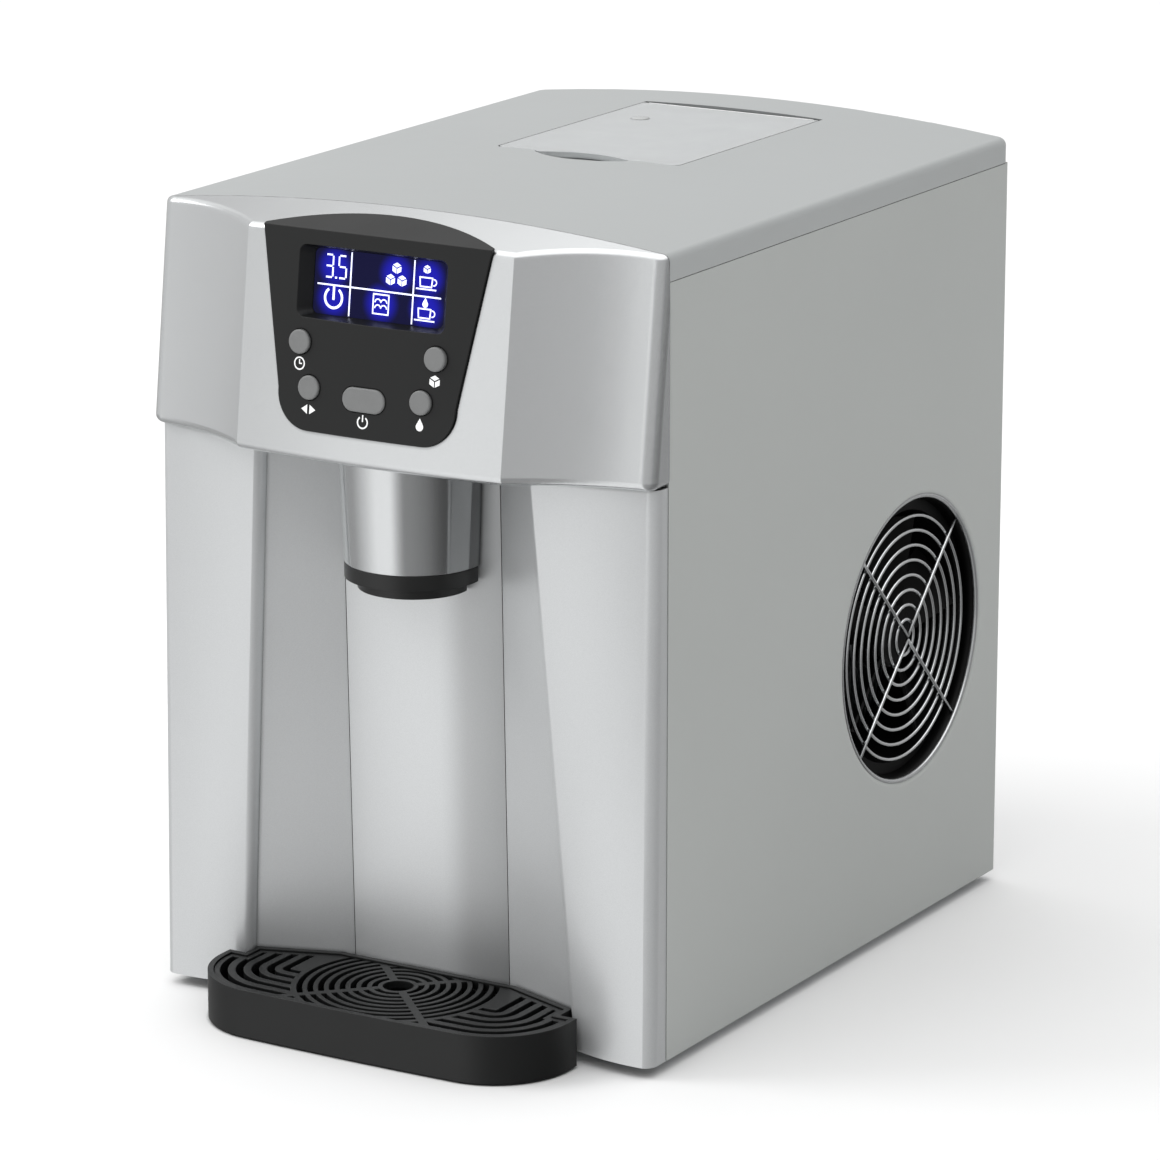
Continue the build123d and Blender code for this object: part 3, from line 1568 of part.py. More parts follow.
def guard_wire(turn, tip_shift):
    """One arm of a chevron from its tip out to the lip."""
    y = seam_y + vent_y
    reach = sqrt(vent_r ** 2 - 2 * guard_tip_r ** 2) - fit_gap
    arm = block(
        guard_x, guard_x + 2 * guard_wire_r, y, y + reach, vent_z - guard_wire_r, vent_z + guard_wire_r,
    )
    return Pos(0, 0, tip_shift) * arm.rotate(Axis((0, y, vent_z), (1, 0, 0)), turn)


def vent_guard():
    """Wire guard: rings on two chevrons that reach the pressed lip."""
    y = seam_y + vent_y
    guard = None
    for ring in range(guard_ring_count):
        radius = guard_ring_r - guard_ring_pitch * ring
        hoop = pipe(
            (guard_x - 2 * guard_wire_r, y, vent_z), (1, 0, 0), 2 * guard_wire_r, radius + guard_wire_r,
            radius - guard_wire_r,
        )
        guard = hoop if guard is None else guard + hoop
    for turn, shift in ((45, guard_wire_r), (135, guard_wire_r), (225, -guard_wire_r), (315, -guard_wire_r)):
        guard += guard_wire(turn, shift)
    return guard & rod((0, y, vent_z), (1, 0, 0), head_half, vent_r - fit_gap)


# Refrigeration

def condenser():
    """Finned block between two end plates that stand on the base pan."""
    y0 = seam_y + vent_y - condenser_half
    y1 = seam_y + vent_y + condenser_half
    x0 = condenser_front_x
    x1 = shroud_plate_x - fit_gap
    low = vent_z - condenser_height_half
    high = vent_z + condenser_height_half
    web = (x0 + x1 - fin_web) / 2
    block_form = block(web, web + fin_web, y0, y1, low, high)
    count = int(2 * condenser_half / fin_pitch)
    for fin in range(1, count):
        y = y0 + fin * (y1 - y0) / count - fin_thick / 2
        block_form += block(x0 + fin_web, x1 - fin_web, y, y + fin_thick, low, high)
    for y in (y0, y1 - condenser_end):
        block_form += block(x0, x1, y, y + condenser_end, base_floor_z, high)
    return block_form


def condenser_bends():
    """Copper return bends on the condenser's front end plate."""
    y = seam_y + vent_y - condenser_half
    x = (condenser_front_x + shroud_plate_x) / 2
    bends = []
    rows = condenser_rows
    pitch = 2 * condenser_height_half / (rows + 1)
    for row in range(rows):
        z = vent_z - condenser_height_half + pitch * (row + 1)
        ring = Pos(x, y, z) * Rot(0, 90, 0) * Torus(pitch / 4, condenser_bend_r)
        bends.append(ring & block(x - pitch, x + pitch, y - pitch, y, z - pitch, z + pitch))
    return Compound(children=bends)


def compressor():
    """Welded pot on its plate, standing on four bushes."""
    y = seam_y + compressor_y
    plate_z = base_floor_z + bush_height
    pot_z = plate_z + compressor_plate_thick
    top_r = compressor_r * sqrt(0.5)
    points = [(0, pot_z), (top_r, pot_z), (compressor_r, pot_z + compressor_dome)]
    rim_z = pot_z + compressor_height * compressor_seam_share
    high_z = pot_z + compressor_height
    rim_r = compressor_r + compressor_rim
    points += [(compressor_r, rim_z), (rim_r, rim_z), (rim_r, rim_z + compressor_rim)]
    points += [(compressor_r, rim_z + compressor_rim), (compressor_r, high_z - compressor_dome)]
    points += [(top_r, high_z), (0, high_z)]
    profile = make_face(Polyline(*[(compressor_x + r, y, z) for r, z in points], close=True))
    pot = revolve(profile, Axis((compressor_x, y, 0), (0, 0, 1)), 360)
    half_x = compressor_plate_x / 2
    half_y = compressor_plate_y / 2
    plate = rounded_block(
        compressor_x - half_x, compressor_x + half_x, y - half_y, y + half_y, plate_z, pot_z, bush_r,
    )
    return pot + plate


def compressor_bushes():
    """Rubber bushes under the corners of the compressor plate."""
    x = compressor_plate_x / 2 - bush_inset
    y = compressor_plate_y / 2 - bush_inset
    bushes = []
    for sx in (-1, 1):
        for sy in (-1, 1):
            base = (compressor_x + sx * x, seam_y + compressor_y + sy * y, base_floor_z)
            bushes.append(rod(base, (0, 0, 1), bush_height, bush_r))
    return Compound(children=bushes)


def drier_place():
    """Centre line of the filter drier in plan."""
    x = (condenser_front_x + shroud_plate_x) / 2
    return x, seam_y + vent_y - condenser_half - 3 * drier_r


def filter_drier():
    """Copper drier clamped to the condenser's front end plate."""
    x, y = drier_place()
    z = vent_z - drier_length / 2
    points = [
        (0, z - drier_neck), (drier_neck_r, z - drier_neck), (drier_neck_r, z), (drier_r, z + drier_neck_r),
        (drier_r, z + drier_length - drier_neck_r), (drier_neck_r, z + drier_length),
        (drier_neck_r, z + drier_length + drier_neck), (0, z + drier_length + drier_neck),
    ]
    profile = make_face(Polyline(*[(x + r, y, h) for r, h in points], close=True))
    body = revolve(profile, Axis((x, y, 0), (0, 0, 1)), 360)
    plate_y = seam_y + vent_y - condenser_half - fit_gap
    clamp_z = vent_z + condenser_height_half / (condenser_rows + 1)
    return body + block(x - thin_wall, x + thin_wall, y, plate_y, clamp_z - thin_wall, clamp_z + thin_wall)


def pipe_run(points, radius, bend):
    """Round pipe along straight runs with bends."""
    path = FilletPolyline(*points, radius=bend)
    return sweep(Plane(origin=path @ 0, z_dir=path % 0) * Circle(radius), path=path)


def refrigerant_lines():
    """Copper lines between compressor, condenser, drier and evaporator."""
    x, drier_y = drier_place()
    ey = seam_y + evaporator_y
    cy = seam_y + compressor_y
    level = foam_bottom_z - auger_r
    low = level - hose_bend_r
    bend = 2 * drier_neck_r
    side_x = shelf_half + hose_bend_r / 2
    top_z = base_floor_z + bush_height + compressor_plate_thick + compressor_height + fit_gap / 2
    drier_top = vent_z + drier_length / 2 + drier_neck + fit_gap / 2
    drier_low = vent_z - drier_length / 2 - drier_neck - fit_gap / 2
    end_y = seam_y + vent_y - condenser_half - fit_gap / 2
    reach = compressor_r * sqrt(0.5) / 2
    port_x = header_half + fit_gap / 2
    left_x, right_x = compressor_x - reach, compressor_x + reach
    suction = pipe_run(
        [(-port_x, ey, evaporator_z), (left_x, ey, evaporator_z), (left_x, ey, top_z)],
        line_r, bend,
    )
    supply = pipe_run(
        [(x, drier_y, drier_top), (x, drier_y, low), (side_x, drier_y, low), (side_x, ey, low),
         (side_x, ey, evaporator_z), (port_x, ey, evaporator_z)],
        line_r, bend,
    )
    lead_z = vent_z + condenser_height_half + fit_gap / 2
    lead_y = seam_y + vent_y
    discharge = pipe_run(
        [(right_x, cy, top_z), (right_x, cy, level), (x, cy, level), (x, lead_y, level), (x, lead_y, lead_z)],
        line_r, bend,
    )
    drop_z = vent_z - condenser_height_half + drier_r
    drain = pipe_run(
        [(x, drier_y, drier_low), (x, drier_y, drop_z), (x, end_y, drop_z)], line_r, bend - line_r,
    )
    return Compound(children=[suction, supply, discharge, drain])


# Water side

def water_tank():
    """Open tank with a drain spigot at the back and an outlet to the pump."""
    left, right = tank_left, tank_right
    front, back = seam_y + tank_front, seam_y + tank_back
    low = base_floor_z
    tank = rounded_block(left, right, front, back, low, tank_top_z, tank_corner_r)
    tank -= rounded_block(left + tank_wall, right - tank_wall, front + tank_wall, back - tank_wall,
                          low + tank_wall, tank_top_z + overrun, tank_corner_r - tank_wall)
    spigot_end = service_floor_y + fit_gap
    tank += rod((drain_x, back - tank_wall, drain_z), (0, 1, 0), spigot_end - back + tank_wall, drain_r)
    outlet_end = pump_x - pump_r - fit_gap
    tank += rod(
        (right - tank_wall, seam_y + pump_y, pump_port_z), (1, 0, 0), outlet_end - right + tank_wall,
        drain_r,
    )
    tank -= rod(
        (drain_x, back - 2 * tank_wall, drain_z), (0, 1, 0), spigot_end - back + overrun, drain_bore_r,
    )
    return tank - rod(
        (right - 2 * tank_wall, seam_y + pump_y, pump_port_z), (1, 0, 0), outlet_end - right + overrun,
        drain_bore_r,
    )


def drain_plug():
    """Black plug with a grip rib, pulled out to empty the tank."""
    y = service_floor_y + 2 * fit_gap
    plug = rod((drain_x, y, drain_z), (0, 1, 0), plug_head_thick, plug_head_r)
    plug += rod((drain_x, y - plug_stem, drain_z), (0, 1, 0), plug_stem + thin_wall, drain_bore_r - fit_gap)
    half = plug_head_r * plug_grip_share
    grip_y = y + plug_head_thick
    return plug + block(drain_x - half, drain_x + half, grip_y - thin_wall, grip_y + plug_grip,
                        drain_z - thin_wall / 2, drain_z + thin_wall / 2)


def float_stem():
    """Level sensor stem on the tank floor with two stops."""
    y = seam_y + float_y
    floor_z = base_floor_z + tank_wall
    base = rod((float_x, y, floor_z), (0, 0, 1), float_stem_foot, float_stem_foot_r)
    low_stop = floor_z + 2 * float_stem_foot
    high_stop = low_stop + float_height + float_travel + 2 * fit_gap + float_stem_foot
    stem = rod((float_x, y, floor_z), (0, 0, 1), high_stop - floor_z + float_stem_foot, float_stem_r)
    for z in (low_stop, high_stop):
        stem += rod((float_x, y, z), (0, 0, 1), float_stem_foot, float_stem_r * 2)
    return base + stem


def level_float():
    """Ring float that rides on the stem."""
    z = base_floor_z + tank_wall + 3 * float_stem_foot + fit_gap
    ring = rod((float_x, seam_y + float_y, z), (0, 0, 1), float_height, float_r)
    ring = fillet(ring.edges().filter_by(GeomType.CIRCLE), thin_wall)
    return ring - rod((float_x, seam_y + float_y, z - overrun), (0, 0, 1), float_height + 2 * overrun,
                      float_stem_r + fit_gap)


def water_pump():
    """Upright pump on its base with an outlet neck."""
    y = seam_y + pump_y
    base = rounded_block(pump_x - pump_r, pump_x + pump_r, y - pump_r, y + pump_r, base_floor_z,
                         base_floor_z + pump_base, thin_wall)
    body = rod((pump_x, y, base_floor_z), (0, 0, 1), pump_base + pump_length, pump_r)
    neck = rod((pump_x, y, base_floor_z), (0, 0, 1), pump_base + pump_length + drier_neck, outlet_r)
    return base + body + neck


def water_hose():
    """Clear hose from the pump up and forward to the outlet tube."""
    y = seam_y + pump_y
    start_z = base_floor_z + pump_base + pump_length + fit_gap
    end_y = spout_y + outlet_y + outlet_back - drier_neck
    side_y = end_y + 2 * hose_bend_r
    points = [(pump_x, y, start_z), (pump_x, y, outlet_z), (pump_x, side_y + hose_bend_r, outlet_z),
              (0, side_y, outlet_z), (0, end_y, outlet_z)]
    path = FilletPolyline(*points, radius=hose_bend_r / 2)
    ring = Circle(hose_r + thin_wall / 2) - Circle(outlet_r + running_gap)
    return sweep(Plane(origin=path @ 0, z_dir=path % 0) * ring, path=path)


# Electrical parts

def board_carrier():
    """Upright plastic carrier with standoffs for the main board."""
    front, back = seam_y + carrier_front, seam_y + carrier_back
    plate = block(carrier_x, carrier_x + carrier_thick, front, back, base_floor_z, carrier_top_z)
    foot = block(
        carrier_x, carrier_x + 4 * carrier_thick, front, back, base_floor_z, base_floor_z + carrier_thick,
    )
    carrier = plate + foot
    for x, y, z in board_holes():
        carrier += rod((x, y, z), (-1, 0, 0), main_board_gap, thin_wall)
    return carrier


def board_holes():
    """Standoff places on the carrier's inner face."""
    inset = board_hole_inset
    ys = (seam_y + carrier_front + inset, seam_y + carrier_back - inset)
    zs = (main_board_low_z + inset / 2, carrier_top_z - inset)
    return [(carrier_x, y, z) for y in ys for z in zs]


def main_board():
    """Control board with relays, a transformer and capacitors."""
    x1 = carrier_x - main_board_gap
    x0 = x1 - board_thick
    front, back = seam_y + carrier_front + board_margin, seam_y + carrier_back - board_margin
    board = block(x0, x1, front, back, main_board_low_z, carrier_top_z - board_margin)
    length = back - front
    relay_z = carrier_top_z - relay_drop
    for share in relay_place_shares:
        y = front + share * length
        board += block(x0 - relay_height, x0, y, y + relay_length, relay_z, relay_z + relay_width)
    mid_z = main_board_low_z + transformer_rise
    y = front + transformer_place_share * length
    board += block(x0 - transformer_height, x0, y, y + transformer_length, mid_z, mid_z + transformer_width)
    for share in capacitor_place_shares:
        board += rod((x0, front + share * length, mid_z + transformer_width / 2), (-1, 0, 0), relay_height,
                     capacitor_r)
    return board


def power_inlet():
    """Panel socket for the supply lead, with three pins."""
    y = service_floor_y
    flange = block(
        inlet_x - inlet_flange_width / 2, inlet_x + inlet_flange_width / 2, y, y + inlet_flange_thick,
        inlet_z - inlet_flange_height / 2, inlet_z + inlet_flange_height / 2,
    )
    flange = fillet(flange.edges().filter_by(Axis.Y), service_corner_r / 2)
    body = block(inlet_x - inlet_body_width / 2, inlet_x + inlet_body_width / 2, y - inlet_body_depth,
                 y + inlet_flange_thick, inlet_z - inlet_body_height / 2, inlet_z + inlet_body_height / 2)
    wall = thin_wall
    well = block(inlet_x - inlet_body_width / 2 + wall, inlet_x + inlet_body_width / 2 - wall,
                 y + inlet_flange_thick - inlet_well, y + inlet_flange_thick + overrun,
                 inlet_z - inlet_body_height / 2 + wall, inlet_z + inlet_body_height / 2 - wall)
    socket = flange + body - well
    for dx, dz in ((0, 1), (-1, -1), (1, -1)):
        x = inlet_x + dx * inlet_pin_spread
        z = inlet_z + dz * inlet_pin_rise
        pin = block(
            x - wall / 2, x + wall / 2, y + inlet_flange_thick - inlet_well - wall / 2, y, z - wall,
            z + wall,
        )
        socket += pin
    return socket


def all_parts():
    """Every sub-part by node name."""
    parts = {
        "base_pan": base_pan(),
        "rubber_feet": rubber_feet(),
        "left_side_panel": side_panel(-1),
        "right_side_panel": right_panel(),
        "rear_panel": rear_panel(),
        "case_screws": case_screws(),
        "top_cover": top_cover(),
        "lid_window": lid_window(),
        "lid_pins": lid_pins(),
        "head_fascia": head_fascia(),
        "control_bezel": control_bezel(),
        "lcd_lens": lcd_lens(),
        "lcd_module": lcd_module(),
        "display_board": display_board(),
        "lower_fascia": lower_fascia(),
        "niche_column": niche_column(),
        "spout_shroud": spout_shroud(),
        "chute_collar": chute_collar(),
        "chute_nozzle": chute_nozzle(),
        "ice_chute": ice_chute(),
        "chute_flap": chute_flap(),
        "flap_motor": flap_motor(),
        "water_outlet_tube": water_outlet_tube(),
        "drip_tray": drip_tray(),
        "drip_grille": drip_grille(),
        "ice_bin": ice_bin(),
        "bin_insulation": bin_insulation(),
        "auger": auger(),
        "auger_motor": auger_motor(),
        "evaporator": evaporator(),
        "water_tray": water_tray(),
        "water_tray_motor": water_tray_motor(),
        "inner_frame": inner_frame(),
        "fan_shroud": fan_shroud(),
        "fan_motor": fan_motor(),
        "fan_blades": fan_blades(),
        "vent_guard": vent_guard(),
        "condenser": condenser(),
        "condenser_bends": condenser_bends(),
        "compressor": compressor(),
        "compressor_bushes": compressor_bushes(),
        "filter_drier": filter_drier(),
        "refrigerant_lines": refrigerant_lines(),
        "water_tank": water_tank(),
        "drain_plug": drain_plug(),
        "float_stem": float_stem(),
        "level_float": level_float(),
        "water_pump": water_pump(),
        "water_hose": water_hose(),
        "board_carrier": board_carrier(),
        "main_board": main_board(),
        "power_inlet": power_inlet(),
    }
    for name, x, z, straight in button_places():
        parts[name] = button(x, z, straight)
    return parts


if __name__ == "__main__":
    os.makedirs("parts", exist_ok=True)
    for node, shape in all_parts().items():
        save(node, shape)
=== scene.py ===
"""Photograph-matched look of a countertop ice cube maker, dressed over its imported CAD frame.

Sizes whose names end in mm are millimetres; they turn into metres where a vertex or a node socket is written.
X runs to the right, Y to the back and Z up, as in the frame.
"""

import logging
import math
from dataclasses import dataclass, field
from enum import Enum
from typing import Iterable, Sequence

import bmesh
import bpy
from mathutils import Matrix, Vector
from mathutils.bvhtree import BVHTree


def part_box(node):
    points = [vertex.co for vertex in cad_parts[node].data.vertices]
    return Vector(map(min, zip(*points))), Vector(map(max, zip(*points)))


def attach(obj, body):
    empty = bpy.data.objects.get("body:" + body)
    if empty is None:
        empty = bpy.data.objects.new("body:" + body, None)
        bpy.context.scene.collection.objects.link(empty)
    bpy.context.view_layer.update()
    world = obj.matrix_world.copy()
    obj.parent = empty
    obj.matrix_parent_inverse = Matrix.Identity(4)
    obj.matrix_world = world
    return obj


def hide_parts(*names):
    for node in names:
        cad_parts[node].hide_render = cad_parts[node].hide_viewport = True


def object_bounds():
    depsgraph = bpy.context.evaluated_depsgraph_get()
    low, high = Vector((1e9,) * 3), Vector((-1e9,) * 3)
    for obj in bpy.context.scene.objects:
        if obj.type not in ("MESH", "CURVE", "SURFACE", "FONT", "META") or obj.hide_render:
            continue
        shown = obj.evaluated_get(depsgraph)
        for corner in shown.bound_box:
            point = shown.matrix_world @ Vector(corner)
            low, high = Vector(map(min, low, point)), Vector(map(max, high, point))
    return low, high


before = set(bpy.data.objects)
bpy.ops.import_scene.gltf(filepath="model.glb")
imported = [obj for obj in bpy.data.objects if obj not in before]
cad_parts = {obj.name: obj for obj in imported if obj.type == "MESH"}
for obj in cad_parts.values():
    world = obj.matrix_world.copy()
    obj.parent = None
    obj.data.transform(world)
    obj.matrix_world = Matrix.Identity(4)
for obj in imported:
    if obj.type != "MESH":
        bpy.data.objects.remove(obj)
LOG = logging.getLogger("ice_cube_maker")
MM = 0.001
CAD_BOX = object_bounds()

Colour = tuple[float, float, float, float]
Place = tuple[float, float, float]
Flat = tuple[float, float]
Tree = bpy.types.NodeTree
Node = bpy.types.Node
Socket = bpy.types.NodeSocket
Mesh = bmesh.types.BMesh

ROUND = 2 * math.pi  # a full turn
RIGHTWARD = Vector((1.0, 0.0, 0.0))
UPWARD = Vector((0.0, 0.0, 1.0))
WIRE_SIDES = 12  # corners of a round wire's section
SHADE_SAMPLES = 6  # rays of the nodes that round edges and shade crevices
PATCH_DETAIL, WEAR_DETAIL, BRUSH_DETAIL = 3.0, 6.0, 4.0  # finer layers of each noise
BUMP_STRENGTH = 0.6  # share of the relief that the bump shows
BRUSH_STRETCH = 60  # length of a brushed line over its width
GLOSS_SPREAD = 0.04  # how far wear moves the roughness each way
LEAST_ROUGHNESS = 0.02
WEAR_RANGE = (0.25, 0.75)  # span of the noise that wear follows
PATCH_STOPS = (0.3, 0.7)  # noise at the darkest and at the lightest patches


class Grain(Enum):
    """Surface relief that a finish can carry."""

    ORANGE_PEEL = "orange peel of sprayed or powder-coated paint"
    SPARK = "fine spark-eroded mould texture"
    BRUSHED = "straight brushed lines"
    SPANGLE = "cells, as of zinc crystals or a lacquered board"
    CELLS = "foam beads"
    POLISHED = "polished mould"


class Body(Enum):
    """Bodies of the frame that new pieces ride on."""

    CABINET = "cabinet"
    LID = "lid"


def linear(hex_code: str) -> Colour:
    """Turns an sRGB hex code into Blender's linear colour, by the curve of the sRGB standard.

    Args:
        hex_code: six hex digits, without a hash sign.

    Returns:
        Red, green, blue and an alpha of one.
    """
    shares = [int(hex_code[i : i + 2], 16) / 255 for i in (0, 2, 4)]
    red, green, blue = [s / 12.92 if s <= 0.04045 else ((s + 0.055) / 1.055) ** 2.4 for s in shares]
    return red, green, blue, 1.0


def scaled(colour: Colour, share: float) -> Colour:
    """Lightens or darkens a linear colour by a share."""
    return tuple(min(c * share, 1.0) for c in colour[:3]) + (1.0,)


def set_levels(ramp: bpy.types.ColorRamp, stops: Sequence[Flat], first: float, last: float) -> None:
    """Spreads grey levels over a ramp.

    Args:
        ramp: ramp that has its first two stops.
        stops: place of each level, and the level.
        first: place at the ramp's start.
        last: place at its end.
    """
    while len(ramp.elements) < len(stops):
        ramp.elements.new(0.5)
    for stop, (place, level) in zip(ramp.elements, stops):
        stop.position = (place - first) / (last - first)
        stop.color = (level, level, level, 1.0)


def add_node(tree: Tree, kind: str, sockets: dict | None = None, **settings) -> Node:
    """Adds a shader node, links or sets its inputs and sets its options.

    Args:
        tree: node tree that gets the node.
        kind: Blender's node type name, without the ShaderNode before it.
        sockets: input name or index, to a value or to an output socket to link from.
        **settings: properties of the node itself.

    Returns:
        The new node.
    """
    node = tree.nodes.new(f"ShaderNode{kind}")
    for key, value in settings.items():
        setattr(node, key, value)
    for key, value in (sockets or {}).items():
        if isinstance(value, Socket):
            tree.links.new(value, node.inputs[key])
        else:
            node.inputs[key].default_value = value
    return node


# Finishes


@dataclass(frozen=True)
class Finish:
    """An opaque finish with a drifting tone, a grain, slightly rounded edges and shade painted into its
    colour in gaps and inner corners.

    Attributes:
        name: name of the material.
        hex_code: middle sRGB colour.
        roughness: middle roughness.
        grain: kind of relief.
        grain_mm: size of one grain.
        relief_mm: depth of the relief.
        tone_share: how far the colour drifts from its middle.
        drift_mm: size of the patches over which the colour drifts.
        edge_mm: radius that the edges catch light at.
        metallic: one for bare metal, part of it for metallic paint.
        ior: index of refraction; metals keep the default.
        coat: weight of a clear coat.
        coat_roughness: roughness of that coat.
        painted_shade_mm: how far out of a gap or an inner corner its painted shade reaches.
    """

    name: str
    hex_code: str
    roughness: float
    grain: Grain = Grain.SPARK
    grain_mm: float = 0.35
    relief_mm: float = 0.006
    tone_share: float = 0.03
    drift_mm: float = 90.0
    edge_mm: float = 0.5
    metallic: float = 0.0
    ior: float = 1.5
    coat: float = 0.0
    coat_roughness: float = 0.15
    painted_shade_mm: float = 2.0

    def material(self) -> bpy.types.Material:
        """Returns the material, making it the first time."""
        return bpy.data.materials.get(self.name) or self.build()

    def build(self) -> bpy.types.Material:
        """Makes the node tree of the material.

        Returns:
            The new material.
        """
        material = bpy.data.materials.new(self.name)
        material.use_nodes = True
        tree = material.node_tree
        tree.nodes.clear()
        place = add_node(tree, "TexCoord").outputs["Object"]
        sockets = {
            "Base Color": self.painted_crevice_shade(tree, self.tone(tree, place)),
            "Roughness": self.gloss(tree, place),
            "Normal": self.relief(tree, place),
            "Metallic": self.metallic,
            "IOR": self.ior,
            "Coat Weight": self.coat,
            "Coat Roughness": self.coat_roughness,
            **self.extras(),
        }
        shader = add_node(tree, "BsdfPrincipled", sockets)
        add_node(tree, "OutputMaterial", {"Surface": shader.outputs[0]})
        return material

    def extras(self) -> dict:
        """Further sockets of the shader that a special finish sets."""
        return {}

    def tone(self, tree: Tree, place: Socket) -> Socket:
        """Drifts the colour over large soft patches.

        Args:
            tree: node tree of the material.
            place: object coordinates.

        Returns:
            The colour output.
        """
        scale = 1 / (self.drift_mm * MM)
        patches = add_node(tree, "TexNoise", {"Vector": place, "Scale": scale, "Detail": PATCH_DETAIL})
        ramp = add_node(tree, "ValToRGB", {"Fac": patches.outputs["Fac"]})
        self.set_tones(ramp.color_ramp, PATCH_STOPS)
        return ramp.outputs["Color"]

    def set_tones(self, ramp: bpy.types.ColorRamp, stops: Flat) -> None:
        """Runs a ramp from the darkest tone to the lightest one.

        Args:
            ramp: ramp with two stops.
            stops: where the two tones stand on it.
        """
        for stop, position, share in zip(ramp.elements, stops, (-self.tone_share, self.tone_share)):
            stop.position = position
            stop.color = scaled(linear(self.hex_code), 1 + share)

    def painted_crevice_shade(self, tree: Tree, colour: Socket) -> Socket:
        """Paints shade into the colour in gaps between pieces and in inner corners, so that a seam reads as a
        dark line.

        Args:
            tree: node tree of the material.
            colour: colour of the open surface.

        Returns:
            The colour output.
        """
        # Ambient occlusion darkens the colour itself: shade painted where gaps and inner corners close in
        sockets = {"Color": colour, "Distance": self.painted_shade_mm * MM}
        shade = add_node(tree, "AmbientOcclusion", sockets, samples=SHADE_SAMPLES)
        return shade.outputs["Color"]

    def gloss(self, tree: Tree, place: Socket) -> Socket:
        """Roughness that varies a little, as handling leaves it.

        Args:
            tree: node tree of the material.
            place: object coordinates.

        Returns:
            The roughness output.
        """
        scale = 2 / (self.drift_mm * MM)
        wear = add_node(tree, "TexNoise", {"Vector": place, "Scale": scale, "Detail": WEAR_DETAIL})
        least, most = WEAR_RANGE
        sockets = {
            "Value": wear.outputs["Fac"],
            "From Min": least,
            "From Max": most,
            "To Min": max(self.roughness - GLOSS_SPREAD, LEAST_ROUGHNESS),
            "To Max": min(self.roughness + GLOSS_SPREAD, 1.0),
        }
        return add_node(tree, "MapRange", sockets).outputs["Result"]

    def height(self, tree: Tree, place: Socket) -> Socket:
        """Height pattern of the grain.

        Args:
            tree: node tree of the material.
            place: object coordinates.

        Returns:
            The height output, from zero to one.
        """
        scale = 1 / (self.grain_mm * MM)
        if self.grain is Grain.BRUSHED:
            pulled = (scale, scale / BRUSH_STRETCH, scale)
            stretched = add_node(tree, "Mapping", {"Vector": place, "Scale": pulled}).outputs[0]
            lines = add_node(tree, "TexNoise", {"Vector": stretched, "Scale": 1.0, "Detail": BRUSH_DETAIL})
            return lines.outputs["Fac"]
        if self.grain in (Grain.SPANGLE, Grain.CELLS):
            cells = add_node(tree, "TexVoronoi", {"Vector": place, "Scale": scale})
            return cells.outputs["Distance"]
        detail = {Grain.ORANGE_PEEL: 1.0, Grain.SPARK: 5.0, Grain.POLISHED: 0.0}[self.grain]
        noise = add_node(tree, "TexNoise", {"Vector": place, "Scale": scale, "Detail": detail})
        return noise.outputs["Fac"]

    def relief(self, tree: Tree, place: Socket) -> Socket:
        """Grain bumps over normals that round the edges.

        Args:
            tree: node tree of the material.
            place: object coordinates.

        Returns:
            The normal output.
        """
        height = self.height(tree, place)
        sockets = {"Height": height, "Strength": BUMP_STRENGTH, "Distance": self.relief_mm * MM}
        if self.edge_mm > 0:
            edge = add_node(tree, "Bevel", {"Radius": self.edge_mm * MM}, samples=SHADE_SAMPLES)
            sockets["Normal"] = edge.outputs[0]
        return add_node(tree, "Bump", sockets).outputs["Normal"]


@dataclass(frozen=True)
class Spangled(Finish):
    """Zinc-coated sheet, whose crystals differ in tone."""

    def tone(self, tree: Tree, place: Socket) -> Socket:
        """Gives each zinc crystal its own tone.

        Args:
            tree: node tree of the material.
            place: object coordinates.

        Returns:
            The colour output.
        """
        crystals = add_node(tree, "TexVoronoi", {"Vector": place, "Scale": 1 / (self.grain_mm * MM)})
        ramp = add_node(tree, "ValToRGB", {"Fac": crystals.outputs["Color"]})
        self.set_tones(ramp.color_ramp, (0.0, 1.0))
        return ramp.outputs["Color"]


@dataclass(frozen=True)
class FlakePaint(Finish):
    """Metallic paint, with fine flakes that lean to and fro under a clear coat.

    Attributes:
        flake_mm: size of a flake, drawn coarser than a real one so that it shows.
        flake_share: how far a flake's brightness leaves the middle.
    """

    flake_mm: float = 0.18
    flake_share: float = 0.05

    def tone(self, tree: Tree, place: Socket) -> Socket:
        """Adds the sparkle of the flakes to the drifting tone.

        Args:
            tree: node tree of the material.
            place: object coordinates.

        Returns:
            The colour output.
        """
        base = super().tone(tree, place)
        flakes = add_node(tree, "TexVoronoi", {"Vector": place, "Scale": 1 / (self.flake_mm * MM)})
        grey = add_node(tree, "SeparateColor", {"Color": flakes.outputs["Color"]})
        sockets = {"Value": grey.outputs[0], "To Min": 1 - self.flake_share, "To Max": 1 + self.flake_share}
        level = add_node(tree, "MapRange", sockets).outputs["Result"]
        mixed = add_node(tree, "VectorMath", {0: base, "Scale": level}, operation="SCALE")
        return mixed.outputs["Vector"]


